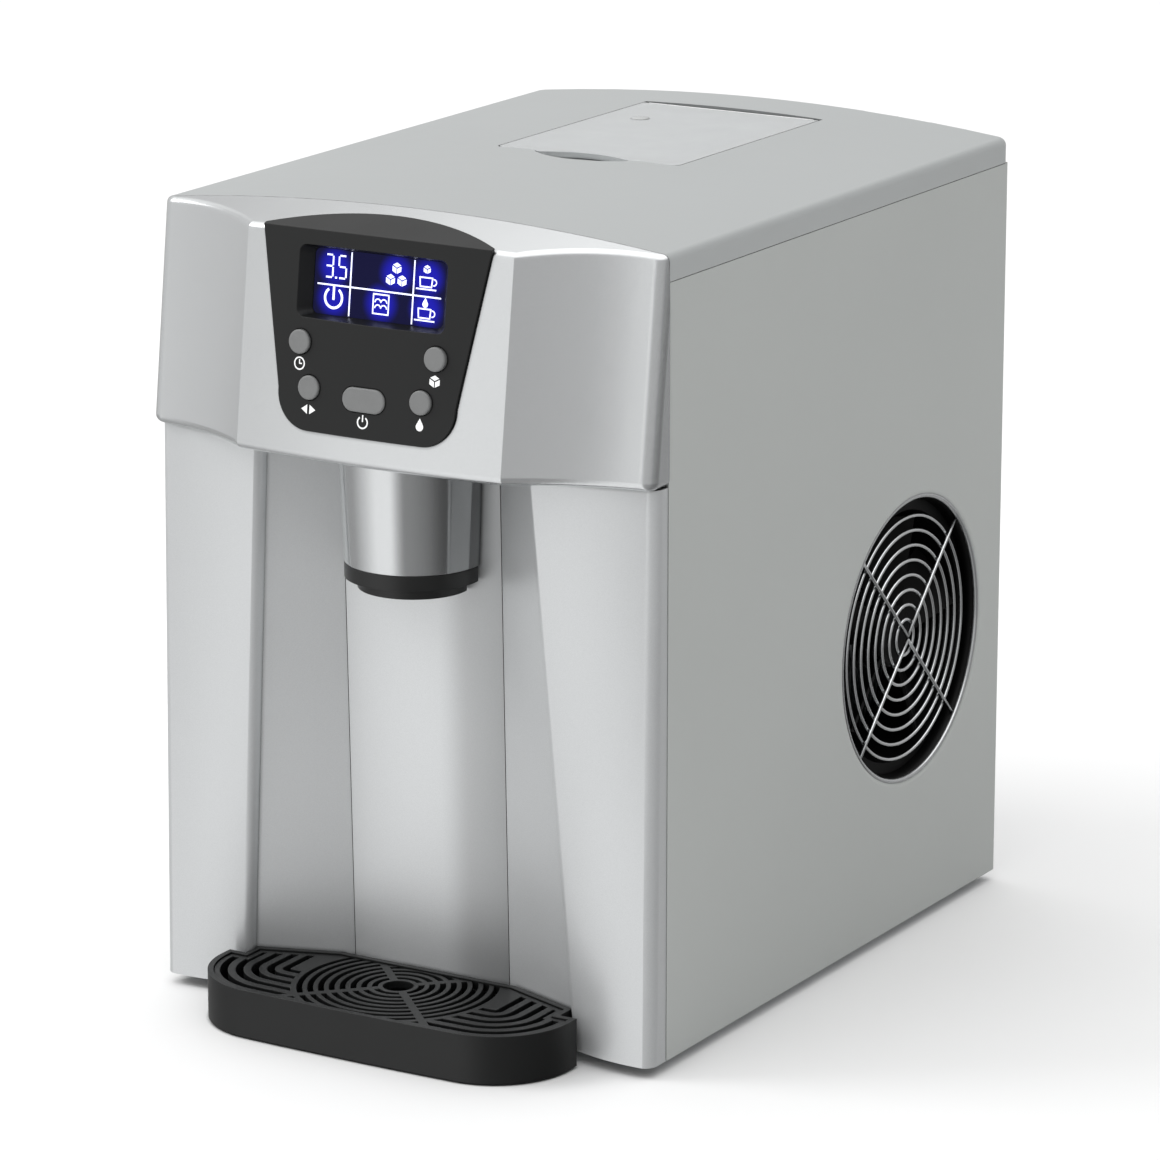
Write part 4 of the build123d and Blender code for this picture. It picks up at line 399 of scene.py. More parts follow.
@dataclass(frozen=True)
class PaintedShadeFlake(FlakePaint):
    """Flake paint on a bowed moulding, with shade painted into its colour across X where its reflection would
    fall off towards the sides.

    Attributes:
        painted_shade: place across the moulding in millimetres, and the painted brightness there; under one
            it is painted shade.
    """

    painted_shade: tuple[Flat, ...] = ((-60.0, 1.0), (60.0, 1.0))

    def tone(self, tree: Tree, place: Socket) -> Socket:
        """Paints shade into the flake tone towards the sides of the moulding, by the place across X.

        Args:
            tree: node tree of the material.
            place: object coordinates.

        Returns:
            The colour output.
        """
        first, last = self.painted_shade[0][0], self.painted_shade[-1][0]
        across = add_node(tree, "SeparateXYZ", {0: place}).outputs["X"]
        sockets = {"Value": across, "From Min": first * MM, "From Max": last * MM}
        share = add_node(tree, "MapRange", sockets).outputs["Result"]
        ramp = add_node(tree, "ValToRGB", {"Fac": share})
        ramp.color_ramp.interpolation = "B_SPLINE"
        set_levels(ramp.color_ramp, self.painted_shade, first, last)
        # The ramp multiplies the flake tone: painted shade towards the sides
        sockets = {0: super().tone(tree, place), 1: ramp.outputs["Color"]}
        return add_node(tree, "VectorMath", sockets, operation="MULTIPLY").outputs["Vector"]


@dataclass(frozen=True)
class Clear(Finish):
    """A see-through moulding.

    Attributes:
        transmission: share of the light that goes through.
    """

    transmission: float = 0.9

    def extras(self) -> dict:
        """Lets light through the shader."""
        return {"Transmission Weight": self.transmission}


@dataclass(frozen=True)
class Lamp(Finish):
    """Ink or a display element that gives light of its own.

    Attributes:
        glow: how bright it is.
    """

    glow: float = 1.0

    def extras(self) -> dict:
        """Makes the shader give light in its own colour."""
        return {"Emission Color": linear(self.hex_code), "Emission Strength": self.glow}


@dataclass(frozen=True)
class DisplayCover(Finish):
    """Dark display cover, lit blue round the places where symbols stand.

    Attributes:
        glow_hex: colour of the lit places.
        centres_mm: middles of the lit places.
        reach_mm: how far each one spreads.
        core_share: share of the reach over which it is fully lit.
        strength: how bright they are.
        floor_glow: how bright the cover is between them.
    """

    glow_hex: str = "1818C4"
    centres_mm: tuple[Place, ...] = ()
    reach_mm: float = 11.5
    core_share: float = 0.35
    strength: float = 0.8
    floor_glow: float = 0.06

    def build(self) -> bpy.types.Material:
        """Makes the material and adds the light of the lit places.

        Returns:
            The new material.
        """
        material = super().build()
        tree = material.node_tree
        shader = next(n for n in tree.nodes if n.type == "BSDF_PRINCIPLED")
        place = next(n for n in tree.nodes if n.type == "TEX_COORD").outputs["Object"]
        total = self.floor_glow
        for centre in self.centres_mm:
            spots = {0: place, 1: tuple(c * MM for c in centre)}
            away = add_node(tree, "VectorMath", spots, operation="DISTANCE")
            sockets = {
                "Value": away.outputs["Value"],
                "From Min": self.reach_mm * MM * self.core_share,
                "From Max": self.reach_mm * MM,
                "To Min": self.strength,
                "To Max": self.floor_glow,
            }
            fade = add_node(tree, "MapRange", sockets, interpolation_type="SMOOTHSTEP").outputs["Result"]
            total = add_node(tree, "Math", {0: total, 1: fade}, operation="MAXIMUM").outputs["Value"]
        shader.inputs["Emission Color"].default_value = linear(self.glow_hex)
        if self.centres_mm:
            tree.links.new(total, shader.inputs["Emission Strength"])
        return material


# Sprayed satin paint on pressed steel: the flat, slightly cool grey of the sides
SIDE_PAINT = Finish(
    "powder_coated_steel_silver", "B3B6B4", 0.5, Grain.ORANGE_PEEL, grain_mm=1.1,
    relief_mm=0.004, tone_share=0.012, drift_mm=160.0, edge_mm=0.8,
)
# Hot-dip zinc coating: cloudy crystals on the hidden sheet metal
ZINC_SHEET = Spangled(
    "galvanised_steel_spangle", "A3A7A9", 0.42, Grain.SPANGLE, grain_mm=9.0, relief_mm=0.002,
    tone_share=0.09, drift_mm=9.0, edge_mm=0.3, metallic=0.85,
)
# Injection-moulded cover in pale grey, fine spark texture: keeps highlights broad and soft; its wide crevice
# reach paints shade into the finger scoop under the lid
COVER_ABS = Finish(
    "abs_moulded_pale_grey", "ABAEAE", 0.36, grain_mm=0.3, relief_mm=0.004, tone_share=0.012,
    drift_mm=150.0, edge_mm=0.0, painted_shade_mm=8.0,
)
# Frosted clear lid: pale and slightly glassy; its rear cut edge gets a separate near-white strip as a painted
# highlight
LID_STYRENE = Clear(
    "san_moulded_frosted_clear", "E6E9EA", 0.2, Grain.POLISHED, grain_mm=3.0, relief_mm=0.001,
    tone_share=0.01, drift_mm=60.0, edge_mm=0.4, ior=1.57, transmission=0.42,
)
# Near-white strip of the same moulding along the lid's rear edge: a painted highlight for the light that the
# thick cut edge gathers
EDGE_HIGHLIGHT_STYRENE = Clear(
    "san_moulded_painted_edge_highlight", "FCFCFC", 0.12, Grain.POLISHED, grain_mm=3.0, relief_mm=0.001,
    tone_share=0.005, drift_mm=60.0, edge_mm=0.0, ior=1.57, painted_shade_mm=0.1, transmission=0.1,
)
# Small polyurethane drop: glassy, so it shows as a ring of highlights
BUMPER_CLEAR = Clear(
    "polyurethane_cast_clear", "F6F8F8", 0.04, Grain.POLISHED, grain_mm=2.0, relief_mm=0.001,
    tone_share=0.01, drift_mm=10.0, edge_mm=0.0, transmission=0.5,
)
# Silver flake lacquer on the moulded head: a soft metallic sheen with bright brow highlights
HEAD_LACQUER = FlakePaint(
    "silver_flake_lacquer_on_abs", "D8DADB", 0.22, Grain.ORANGE_PEEL, grain_mm=1.4,
    relief_mm=0.002, tone_share=0.012, drift_mm=120.0, edge_mm=0.6, metallic=0.88, coat=0.2,
    coat_roughness=0.12,
)
# The same lacquer on the pillars and niche walls, duller, so that they shade softly
NICHE_LACQUER = FlakePaint(
    "silver_flake_lacquer_niche", "D4D6D7", 0.4, Grain.ORANGE_PEEL, grain_mm=1.4,
    relief_mm=0.002, tone_share=0.012, drift_mm=120.0, edge_mm=0.0, metallic=0.52, coat=0.12,
    coat_roughness=0.24,
)
# The column takes a smoother coat, so its foot mirrors the tray softly; shade painted into its sides, deepest
# on the right, leaves its middle as a painted gleam
COLUMN_LACQUER_PAINTED_SHADE = PaintedShadeFlake(
    "silver_flake_lacquer_column_painted_shade", "DCDEDF", 0.38, Grain.POLISHED, grain_mm=1.4,
    relief_mm=0.001, tone_share=0.012, drift_mm=120.0, edge_mm=0.0, metallic=0.52, coat=0.12,
    coat_roughness=0.22,
    painted_shade=(
        (-50.0, 0.8), (-36.0, 0.96), (-16.0, 1.0), (9.0, 1.0), (17.0, 0.84), (25.0, 0.64), (36.0, 0.6),
        (50.0, 0.5),
    ),
)
# Brighter flake lacquer on the tapered spout shroud: a broad gleam that falls off into a dark right flank,
# the flank darkened by painted shade
SPOUT_LACQUER_PAINTED_SHADE = PaintedShadeFlake(
    "bright_flake_lacquer_spout_painted_shade", "D6D8D9", 0.14, Grain.POLISHED, grain_mm=1.2,
    relief_mm=0.001, tone_share=0.012, edge_mm=0.6, metallic=0.96, coat=0.15, coat_roughness=0.08,
    painted_shade=((-40.0, 0.92), (-16.0, 0.96), (0.0, 1.0), (18.0, 1.0), (24.0, 0.86), (30.0, 0.5), (40.0, 0.42)),
)
# Black control bezel: satin moulding with a very fine texture
PANEL_BLACK = Finish(
    "abs_satin_black_panel", "121313", 0.42, grain_mm=0.25, relief_mm=0.004, tone_share=0.05,
    drift_mm=60.0, edge_mm=0.6, ior=1.42,
)
# Grey push buttons: matt moulding, a little lighter at worn edges
BUTTON_GREY = Finish(
    "pom_moulded_button_grey", "797A7A", 0.42, grain_mm=0.25, relief_mm=0.005, drift_mm=6.0,
    ior=1.48,
)
# Black moulded trim: a duller face that shows only a faint sheen at its edges
TRIM_BLACK = Finish(
    "pp_moulded_trim_black", "121313", 0.38, grain_mm=0.3, relief_mm=0.005, tone_share=0.06,
    drift_mm=30.0,
)
# Charcoal drip tray: leathery mould texture that holds a grey sheen
TRAY_BLACK = Finish(
    "pp_moulded_tray_charcoal", "121313", 0.44, grain_mm=0.45, relief_mm=0.01, tone_share=0.05,
    drift_mm=40.0, edge_mm=0.6, ior=1.43,
)
# Zinc-plated steel fixings: small bright points with fine lines
FIXING_STEEL = Finish(
    "zinc_plated_fixing_steel", "B4B6B3", 0.3, Grain.BRUSHED, grain_mm=0.2, relief_mm=0.003,
    tone_share=0.05, drift_mm=12.0, edge_mm=0.2, metallic=1.0,
)
# Drawn wire with a bright chrome plating: thin white lines over the dark fan
GUARD_CHROME = Finish(
    "chrome_plated_guard_wire", "EEF0F1", 0.24, Grain.BRUSHED, grain_mm=0.3, relief_mm=0.001,
    drift_mm=25.0, edge_mm=0.1, metallic=1.0,
)
# Matt moulding of the fan and its duct, also on the black band inside its opening: hardly any light comes
# back
FAN_BLACK = Finish(
    "pbt_moulded_fan_black", "060606", 0.55, grain_mm=0.4, relief_mm=0.008, tone_share=0.05,
    drift_mm=30.0, edge_mm=0.4, ior=1.3,
)
# Ground stainless steel of the auger and the float stem: a streaky grey mirror
STAINLESS = Finish(
    "stainless_steel_ground", "B9BBBC", 0.26, Grain.BRUSHED, grain_mm=0.25, relief_mm=0.004,
    tone_share=0.04, drift_mm=40.0, edge_mm=0.3, metallic=1.0,
)
# Die-cast zinc of the gearmotor and fan motor cases: dull grey, slightly pitted
CAST_ZINC = Finish(
    "zinc_die_cast", "8D9092", 0.45, grain_mm=0.8, relief_mm=0.015, tone_share=0.05, drift_mm=20.0,
    metallic=0.9,
)
# Nickel plating on the freezing fingers: a clean mirror with a warm cast
NICKEL = Finish(
    "nickel_plated_copper", "C9C4B8", 0.22, Grain.POLISHED, grain_mm=2.0, relief_mm=0.002,
    drift_mm=30.0, edge_mm=0.4, metallic=1.0,
)
# Pressed aluminium fins: pale, with a dry brushed glint
FIN_ALUMINIUM = Finish(
    "aluminium_pressed_fins", "B8BBBD", 0.4, Grain.BRUSHED, grain_mm=0.5, tone_share=0.05,
    drift_mm=30.0, edge_mm=0.2, metallic=1.0,
)
# Drawn copper line, dulled by handling: a red-brown sheen in uneven patches
COPPER = Finish(
    "copper_drawn_tube", "B87350", 0.34, Grain.BRUSHED, grain_mm=0.4, relief_mm=0.003,
    tone_share=0.09, drift_mm=25.0, edge_mm=0.2, metallic=1.0,
)
# Black stove enamel on the compressor pot: glossy, with a rippled reflection
POT_ENAMEL = Finish(
    "stove_enamel_black", "17181A", 0.3, Grain.ORANGE_PEEL, grain_mm=2.2, relief_mm=0.02,
    tone_share=0.08, drift_mm=40.0, edge_mm=0.8,
)
# Natural polypropylene of the bin and the water tray: milky white with a soft gloss
BIN_WHITE = Finish(
    "pp_natural_white", "DCE0E0", 0.38, grain_mm=0.5, tone_share=0.02, drift_mm=60.0, ior=1.49,
)
# Expanded polystyrene bed of the bin: matt white, its beads plain to see
BEAD_FOAM = Finish(
    "eps_bead_foam", "EEF0EF", 0.75, Grain.CELLS, grain_mm=3.2, relief_mm=0.35, drift_mm=20.0,
    edge_mm=0.8, ior=1.3,
)
# Polycarbonate tank: clear, faintly blue where it is thick, with thin bright edges
TANK_CLEAR = Clear(
    "pc_moulded_clear_tank", "DCE8EC", 0.12, Grain.POLISHED, grain_mm=4.0, relief_mm=0.004,
    tone_share=0.02, drift_mm=60.0, ior=1.58, transmission=0.85,
)
# Silicone hose: milky and half see-through, with a satin skin
SILICONE = Clear(
    "silicone_hose_milky", "E4E6E4", 0.42, grain_mm=0.6, drift_mm=20.0, edge_mm=0.4, ior=1.41,
    transmission=0.3,
)
# Green solder mask of the boards: glossy, over a low relief of cells
SOLDER_MASK = Finish(
    "fr4_green_solder_mask", "1F6B3A", 0.32, Grain.SPANGLE, grain_mm=1.6, relief_mm=0.02,
    tone_share=0.12, drift_mm=4.0, edge_mm=0.2,
)
# Nitrile rubber of the feet and bushes: nearly black, with no clear highlight
RUBBER = Finish(
    "nitrile_rubber_black", "1A1A1A", 0.7, grain_mm=0.6, relief_mm=0.02, tone_share=0.08,
    drift_mm=15.0, edge_mm=0.6,
)
# White ink screened on the panel: flat and even; a little light of its own keeps it readable
PANEL_INK = Lamp(
    "screen_ink_white", "E9EAEA", 0.6, grain_mm=0.3, relief_mm=0.002, tone_share=0.02,
    drift_mm=10.0, edge_mm=0.0, glow=0.3,
)
# Lit display segments: near white with a blue cast, the brightest points of the panel
SEGMENT_LIGHT = Lamp(
    "lcd_segment_blue_white", "DDE2FF", 0.5, Grain.POLISHED, grain_mm=1.0, relief_mm=0.001,
    tone_share=0.02, drift_mm=10.0, edge_mm=0.0, glow=1.1,
)
# Matt paper of the seamless table: holds no reflection, only the soft shade under the machine
FLOOR_PAPER = Finish(
    "matt_paper_white", "F4F4F4", 0.9, grain_mm=2.0, relief_mm=0.02, tone_share=0.004,
    drift_mm=400.0, edge_mm=0.0,
)


# Mesh helpers


def new_piece(name: str, mesh: Mesh, finish: Finish, smooth: bool = True) -> bpy.types.Object:
    """Turns a bmesh into an object with one material.

    Args:
        name: name of the piece.
        mesh: geometry in metres; it is freed.
        finish: what the piece is made of.
        smooth: whether its faces shade smoothly.

    Returns:
        The new object.
    """
    data = bpy.data.meshes.new(name)
    for face in mesh.faces:
        face.smooth = smooth
    mesh.to_mesh(data)
    mesh.free()
    data.materials.append(finish.material())
    piece = bpy.data.objects.new(name, data)
    bpy.context.scene.collection.objects.link(piece)
    LOG.info("%s: made in %s", name, finish.name)
    return piece


def join_loops(mesh: Mesh, first: Sequence[bmesh.types.BMVert], second: Sequence[bmesh.types.BMVert]) -> None:
    """Joins two closed loops of equal length by a band of faces.

    Args:
        mesh: geometry that both loops are in.
        first: corners of one loop, in order.
        second: corners of the other loop, beside those of the first.
    """
    count = len(first)
    for k in range(count):
        mesh.faces.new((first[k], second[k], second[(k + 1) % count], first[(k + 1) % count]))


def sweep_wire(
    mesh: Mesh, path: Sequence[Vector], side: Vector, radius: float, closed: bool, sides: int = WIRE_SIDES
) -> None:
    """Adds a round wire along a path that lies in one plane.

    Args:
        mesh: geometry that the wire joins.
        path: points of the wire's middle line.
        side: normal of the plane that the path lies in.
        radius: radius of the wire.
        closed: whether the end meets the start.
        sides: corners of its section.
    """
    rings = []
    count = len(path)
    turns = [ROUND * k / sides for k in range(sides)]
    for i, point in enumerate(path):
        before = path[i - 1] if closed or i else point
        after = path[(i + 1) % count] if closed or i < count - 1 else point
        across = (after - before).normalized().cross(side).normalized()
        corners = [point + radius * (math.cos(t) * across + math.sin(t) * side) for t in turns]
        rings.append([mesh.verts.new(corner) for corner in corners])
    for i in range(count if closed else count - 1):
        join_loops(mesh, rings[i], rings[(i + 1) % count])
    if not closed:
        mesh.faces.new(list(reversed(rings[0])))
        mesh.faces.new(rings[-1])


@dataclass
class FlatPen:
    """Draws flat symbols as polygons in a plane's own millimetres.

    Attributes:
        shapes: polygons drawn so far, each a list of (right, up) points.
    """

    shapes: list[list[Flat]] = field(default_factory=list)

    def stroke(self, points: Sequence[Flat], width: float, closed: bool = False) -> None:
        """Draws a line with square joints.

        Args:
            points: corners of the line's middle.
            width: width of the line.
            closed: whether the end meets the start.
        """
        ends = list(points) + [points[0]] if closed else list(points)
        for (x0, y0), (x1, y1) in zip(ends, ends[1:]):
            length = math.hypot(x1 - x0, y1 - y0)
            dx, dy = (x1 - x0) / length * width / 2, (y1 - y0) / length * width / 2
            x0, y0, x1, y1 = x0 - dx, y0 - dy, x1 + dx, y1 + dy
            right, left = [(x0 + dy, y0 - dx), (x1 + dy, y1 - dx)], [(x1 - dy, y1 + dx), (x0 - dy, y0 + dx)]
            self.shapes.append(right + left)

    def arc(self, centre: Flat, radius: float, width: float, start: float, end: float, steps: int) -> None:
        """Draws part of a ring.

        Args:
            centre: middle of the ring.
            radius: radius of its middle line.
            width: width of the line.
            start: first angle, degrees from the right.
            end: last angle.
            steps: parts of the ring.
        """
        rims = []
        for i in range(steps + 1):
            turn = math.radians(start + (end - start) * i / steps)
            edges = (radius - width / 2, radius + width / 2)
            rims.append([(centre[0] + r * math.cos(turn), centre[1] + r * math.sin(turn)) for r in edges])
        for (a, b), (c, d) in zip(rims, rims[1:]):
            self.shapes.append([a, b, d, c])

    def blob(self, points: Sequence[Flat]) -> None:
        """Fills a convex outline."""
        self.shapes.append(list(points))

    def drop(self, centre: Flat, size: float) -> None:
        """Draws a filled water drop.

        Args:
            centre: middle of its round part.
            size: its height.
        """
        radius, tip = size * 0.33, size * 0.67
        start, sweep, steps = 150, 240, 16  # degrees of its round part, and the parts of that
        outline = [(centre[0], centre[1] + tip)]
        for i in range(steps + 1):
            turn = math.radians(start + sweep * i / steps)
            outline.append((centre[0] + radius * math.cos(turn), centre[1] + radius * math.sin(turn)))
        self.shapes.append(outline)

    def cube(self, centre: Flat, size: float, line: float) -> None:
        """Draws an ice cube seen corner-on, with a gap between its faces.

        Args:
            centre: where its three faces meet.
            size: length of an edge.
            line: width of the gaps.
        """
        x, y = centre
        wide, half, gap = size * math.cos(math.radians(30)), size / 2, line / 2
        reach = wide - gap
        self.shapes.append([(x, y + gap), (x + reach, y + half), (x, y + size - gap), (x - reach, y + half)])
        for side in (-1, 1):
            near, far = x + side * gap, x + side * wide
            face = [(near, y - gap), (near, y - size + gap), (far, y - half), (far, y + half - 2 * gap)]
            self.shapes.append(face if side > 0 else face[::-1])

    def digit(self, corner: Flat, lit: str, width: float, height: float, line: float) -> None:
        """Draws a seven-segment figure.

        Args:
            corner: its lower left corner.
            lit: letters of the segments that are lit, from a to g.
            width: width of the figure.
            height: its height.
            line: width of a segment.
        """
        x, y = corner
        rows = {"d": y, "g": y + height / 2, "a": y + height}
        for key, level in rows.items():
            if key in lit:
                self.stroke([(x + line, level), (x + width - line, level)], line)
        posts = {"e": (x, y), "c": (x + width, y), "f": (x, y + height / 2), "b": (x + width, y + height / 2)}
        for key, (px, py) in posts.items():
            if key in lit:
                self.stroke([(px, py + line), (px, py + height / 2 - line)], line)


# Studio


@dataclass(frozen=True)
class Softbox:
    """One large soft lamp.

    Attributes:
        name: name of the lamp.
        place: where it stands, metres.
        size: width and height, metres.
        power: watts.
    """

    name: str
    place: Place
    size: Flat
    power: float

    def build(self, target: Vector) -> None:
        """Adds the lamp.

        Args:
            target: place that it is turned to.
        """
        lamp = bpy.data.lights.new(self.name, "AREA")
        lamp.shape, lamp.size, lamp.size_y, lamp.energy = "RECTANGLE", *self.size, self.power
        stand = bpy.data.objects.new(self.name, lamp)
        stand.location = self.place
        stand.rotation_euler = (target - Vector(self.place)).to_track_quat("-Z", "Y").to_euler()
        bpy.context.scene.collection.objects.link(stand)


@dataclass
class Studio:
    """Pale seamless floor, soft lamps and the photograph's camera.

    Attributes:
        camera_place: where the camera stands, metres.
        camera_tilt: how far it looks down, radians.
        camera_turn: how far it is turned from looking along Y, radians.
        lens: focal length, millimetres.
        sensor: width of the sensor, millimetres.
        clip: nearest and furthest distance that it sees, metres.
        floor_reach: radius of the floor, metres.
        floor_corners: corners of its outline.
        overhead: brightness of the ceiling.
        dome_degrees: heights between which the walls turn into the ceiling.
        foot_degrees: heights between which the foot of the walls turns into the walls.
        horizon: brightness of the walls, by degrees from the front.
        foot: brightness of their foot.
        lamps: the soft lamps.
    """

    camera_place: Place = (1.42330, -2.36807, 0.93727)
    camera_tilt: float = 0.26176
    camera_turn: float = 0.53881
    lens: float = 171.76
    sensor: float = 36.0
    clip: Flat = (0.05, 60.0)
    floor_reach: float = 9.0
    floor_corners: int = 64
    overhead: float = 1.6
    dome_degrees: Flat = (28.0, 60.0)
    foot_degrees: Flat = (-13.0, -6.0)
    horizon: tuple[Flat, ...] = (
        (-180.0, 0.5), (-110.0, 0.62), (-58.0, 0.7), (-43.0, 0.76), (-34.0, 1.0), (-16.0, 1.0), (-2.0, 0.66),
        (8.0, 0.53), (58.0, 0.48), (80.0, 0.3), (125.0, 0.26), (155.0, 0.45), (180.0, 0.5),
    )
    foot: tuple[Flat, ...] = (
        (-180.0, 0.46), (-110.0, 0.38), (-78.0, 0.4), (-50.0, 0.76), (-40.0, 0.92), (-31.0, 1.06),
        (-5.0, 1.08), (6.0, 0.6), (16.0, 0.3), (58.0, 0.24), (78.0, 0.16), (125.0, 0.1), (155.0, 0.34),
    )
    lamps: tuple[Softbox, ...] = (Softbox("key_softbox", (-2.1, -1.2, 2.2), (1.2, 1.2), 24.0),)

    def build(self) -> None:
        """Adds the camera, the world, the lamps and the floor."""
        scene = bpy.context.scene
        data = bpy.data.cameras.new("photograph_camera")
        data.lens, data.sensor_width = self.lens, self.sensor
        data.clip_start, data.clip_end = self.clip
        camera = bpy.data.objects.new("photograph_camera", data)
        camera.location = self.camera_place
        camera.rotation_euler = (math.pi / 2 - self.camera_tilt, 0.0, self.camera_turn)
        scene.collection.objects.link(camera)
        scene.camera = camera
        scene.view_settings.view_transform = "Standard"
        scene.world = self.room()
        low, high = CAD_BOX
        for lamp in self.lamps:
            lamp.build((low + high) / 2)
        self.floor()

    def room(self) -> bpy.types.World:
        """Makes a studio with a bright ceiling over grey walls that are lightest at the front left.

        Returns:
            The world.
        """
        world = bpy.data.worlds.new("studio_world")
        world.use_nodes = True
        tree = world.node_tree
        way = add_node(tree, "SeparateXYZ", {0: add_node(tree, "TexCoord").outputs["Generated"]})
        front = add_node(tree, "Math", {0: way.outputs["Y"], 1: -1.0}, operation="MULTIPLY").outputs[0]
        turn = add_node(tree, "Math", {0: way.outputs["X"], 1: front}, operation="ARCTAN2").outputs[0]
        share = add_node(tree, "MapRange", {"Value": turn, "From Min": -math.pi, "From Max": math.pi})
        foot, eye = (self.wall(tree, share.outputs["Result"], stops) for stops in (self.foot, self.horizon))
        walls = self.blend(tree, way.outputs["Z"], self.foot_degrees, foot, eye)
        light = self.blend(tree, way.outputs["Z"], self.dome_degrees, walls, self.overhead)
        tree.links.new(light, tree.nodes["Background"].inputs["Strength"])
        tree.nodes["Background"].inputs["Color"].default_value = (1.0, 1.0, 1.0, 1.0)
        return world

    @staticmethod
    def wall(tree: Tree, turn: Socket, stops: Sequence[Flat]) -> Socket:
        """Brightness of the wall all the way round.

        Args:
            tree: node tree of the world.
            turn: share of the full turn, from the back over the left, the front and the right.
            stops: direction in degrees from the front, and brightness.

        Returns:
            The brightness output.
        """
        ramp = add_node(tree, "ValToRGB", {"Fac": turn})
        set_levels(ramp.color_ramp, stops, -180.0, 180.0)
        return ramp.outputs["Color"]

    @staticmethod
    def blend(tree: Tree, rise: Socket, degrees: Flat, below: Socket, above: Socket | float) -> Socket:
        """Blends two brightnesses softly between two heights above the horizon.

        Args:
            tree: node tree of the world.
            rise: sine of the height above the horizon.
            degrees: heights between which they blend.
            below: brightness under the first height.
            above: brightness over the second height.

        Returns:
            The blended output.
        """
        low, high = (math.sin(math.radians(d)) for d in degrees)
        sockets = {"Value": rise, "From Min": low, "From Max": high, "To Min": below, "To Max": above}
        return add_node(tree, "MapRange", sockets, interpolation_type="SMOOTHSTEP").outputs["Result"]

    def floor(self) -> None:
        """Adds the round floor as a fan of faces."""
        mesh = bmesh.new()
        bmesh.ops.create_circle(mesh, cap_ends=True, radius=self.floor_reach, segments=self.floor_corners)
        floor = new_piece("studio_floor", mesh, FLOOR_PAPER)
        floor.visible_glossy = False


# Sub-assemblies


def dressed(**finishes: Finish) -> dict[str, Finish]:
    """Field of an assembly that names the finish of each of its CAD nodes."""
    return field(default_factory=lambda: dict(finishes))


@dataclass
class Assembly:
    """CAD nodes that are finished together.

    Attributes:
        finishes: the finish of each node.
    """

    finishes: dict[str, Finish] = field(default_factory=dict)

    def dress(self) -> None:
        """Gives each CAD node its material."""
        for node, finish in self.finishes.items():
            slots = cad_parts[node].data.materials
            slots.clear()
            slots.append(finish.material())
            LOG.info("%s: dressed in %s", node, finish.name)

    def build(self) -> None:
        """Adds the sub-assembly's own pieces."""


@dataclass
class Case(Assembly):
    """Painted sheet-metal case on its pan and feet."""

    finishes: dict[str, Finish] = dressed(
        left_side_panel=SIDE_PAINT, right_side_panel=SIDE_PAINT, rear_panel=ZINC_SHEET, base_pan=ZINC_SHEET,
        inner_frame=ZINC_SHEET, rubber_feet=RUBBER, case_screws=FIXING_STEEL, top_cover=COVER_ABS,
    )


@dataclass
class Lid(Assembly):
    """Frosted clear lid with a near-white strip along its rear edge as a painted highlight, and a small clear
    bumper stuck on it.

    Attributes:
        bumper_mm: middle of the bumper's foot on the lid.
        bumper_r_mm: its radius.
        bumper_rise_mm: height of its dome.
        bumper_rows: rows of faces from its foot to its top.
        bumper_sides: corners of its outline.
        highlight_r_mm: radius of the painted highlight strip along the lid's rear edge.
        highlight_inset: its line from the lid's corner along X, Y and Z, in radii of the strip.
        highlight_parts: parts of its length.
        highlight_sides: corners of its section.
    """

    bumper_mm: Place = (-30.6, 125.9, 416.3)
    bumper_r_mm: float = 5.2
    bumper_rise_mm: float = 1.1
    bumper_rows: int = 6
    bumper_sides: int = 32
    highlight_r_mm: float = 0.55
    highlight_inset: Place = (6.0, 5.0, 0.7)
    highlight_parts: int = 16
    highlight_sides: int = 10
    finishes: dict[str, Finish] = dressed(lid_window=LID_STYRENE, lid_pins=FIXING_STEEL)

    def build(self) -> None:
        """Turns the bumper's dome and rolls the painted highlight strip at the rear edge."""
        self.edge_highlight()
        mesh = bmesh.new()
        rows, sides = self.bumper_rows, self.bumper_sides
        rings = []
        for row in range(rows):
            lift = math.radians(90 * row / rows)
            rings.append([mesh.verts.new(self.dome_point(lift, ROUND * k / sides)) for k in range(sides)])
        top = mesh.verts.new(self.dome_point(math.pi / 2, 0.0))
        for low, high in zip(rings, rings[1:]):
            join_loops(mesh, high, low)
        for k in range(sides):
            mesh.faces.new((rings[-1][k], rings[-1][(k + 1) % sides], top))
        mesh.faces.new(rings[0][::-1])
        bumper = new_piece("lid_bumper", mesh, BUMPER_CLEAR)
        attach(bumper, Body.LID.value)

    def edge_highlight(self) -> None:
        """Rolls the near-white strip along the lid's rear edge, a painted highlight."""
        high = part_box("lid_window")[1]
        radius = self.highlight_r_mm * MM
        half, rear, top = (edge - inset * radius for edge, inset in zip(high, self.highlight_inset))
        steps = range(self.highlight_parts + 1)
        path = [Vector((half * (2 * i / self.highlight_parts - 1), rear, top)) for i in steps]
        mesh = bmesh.new()
        sweep_wire(mesh, path, UPWARD, radius, False, self.highlight_sides)
        bmesh.ops.recalc_face_normals(mesh, faces=mesh.faces)
        # Near-white strip standing in for the highlight of the lid's rear edge: painted light
        edge_highlight = new_piece("lid_rear_painted_highlight", mesh, EDGE_HIGHLIGHT_STYRENE)
        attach(edge_highlight, Body.LID.value)

    def dome_point(self, lift: float, turn: float) -> Vector:
        """Finds a place on the bumper's dome.

        Args:
            lift: angle up from its foot, radians.
            turn: angle round its axis, radians.

        Returns:
            The place in metres.
        """
        x, y, z = self.bumper_mm
        reach, rise = self.bumper_r_mm * math.cos(lift), self.bumper_rise_mm * math.sin(lift)
        return Vector((x + reach * math.cos(turn), y + reach * math.sin(turn), z + rise)) * MM


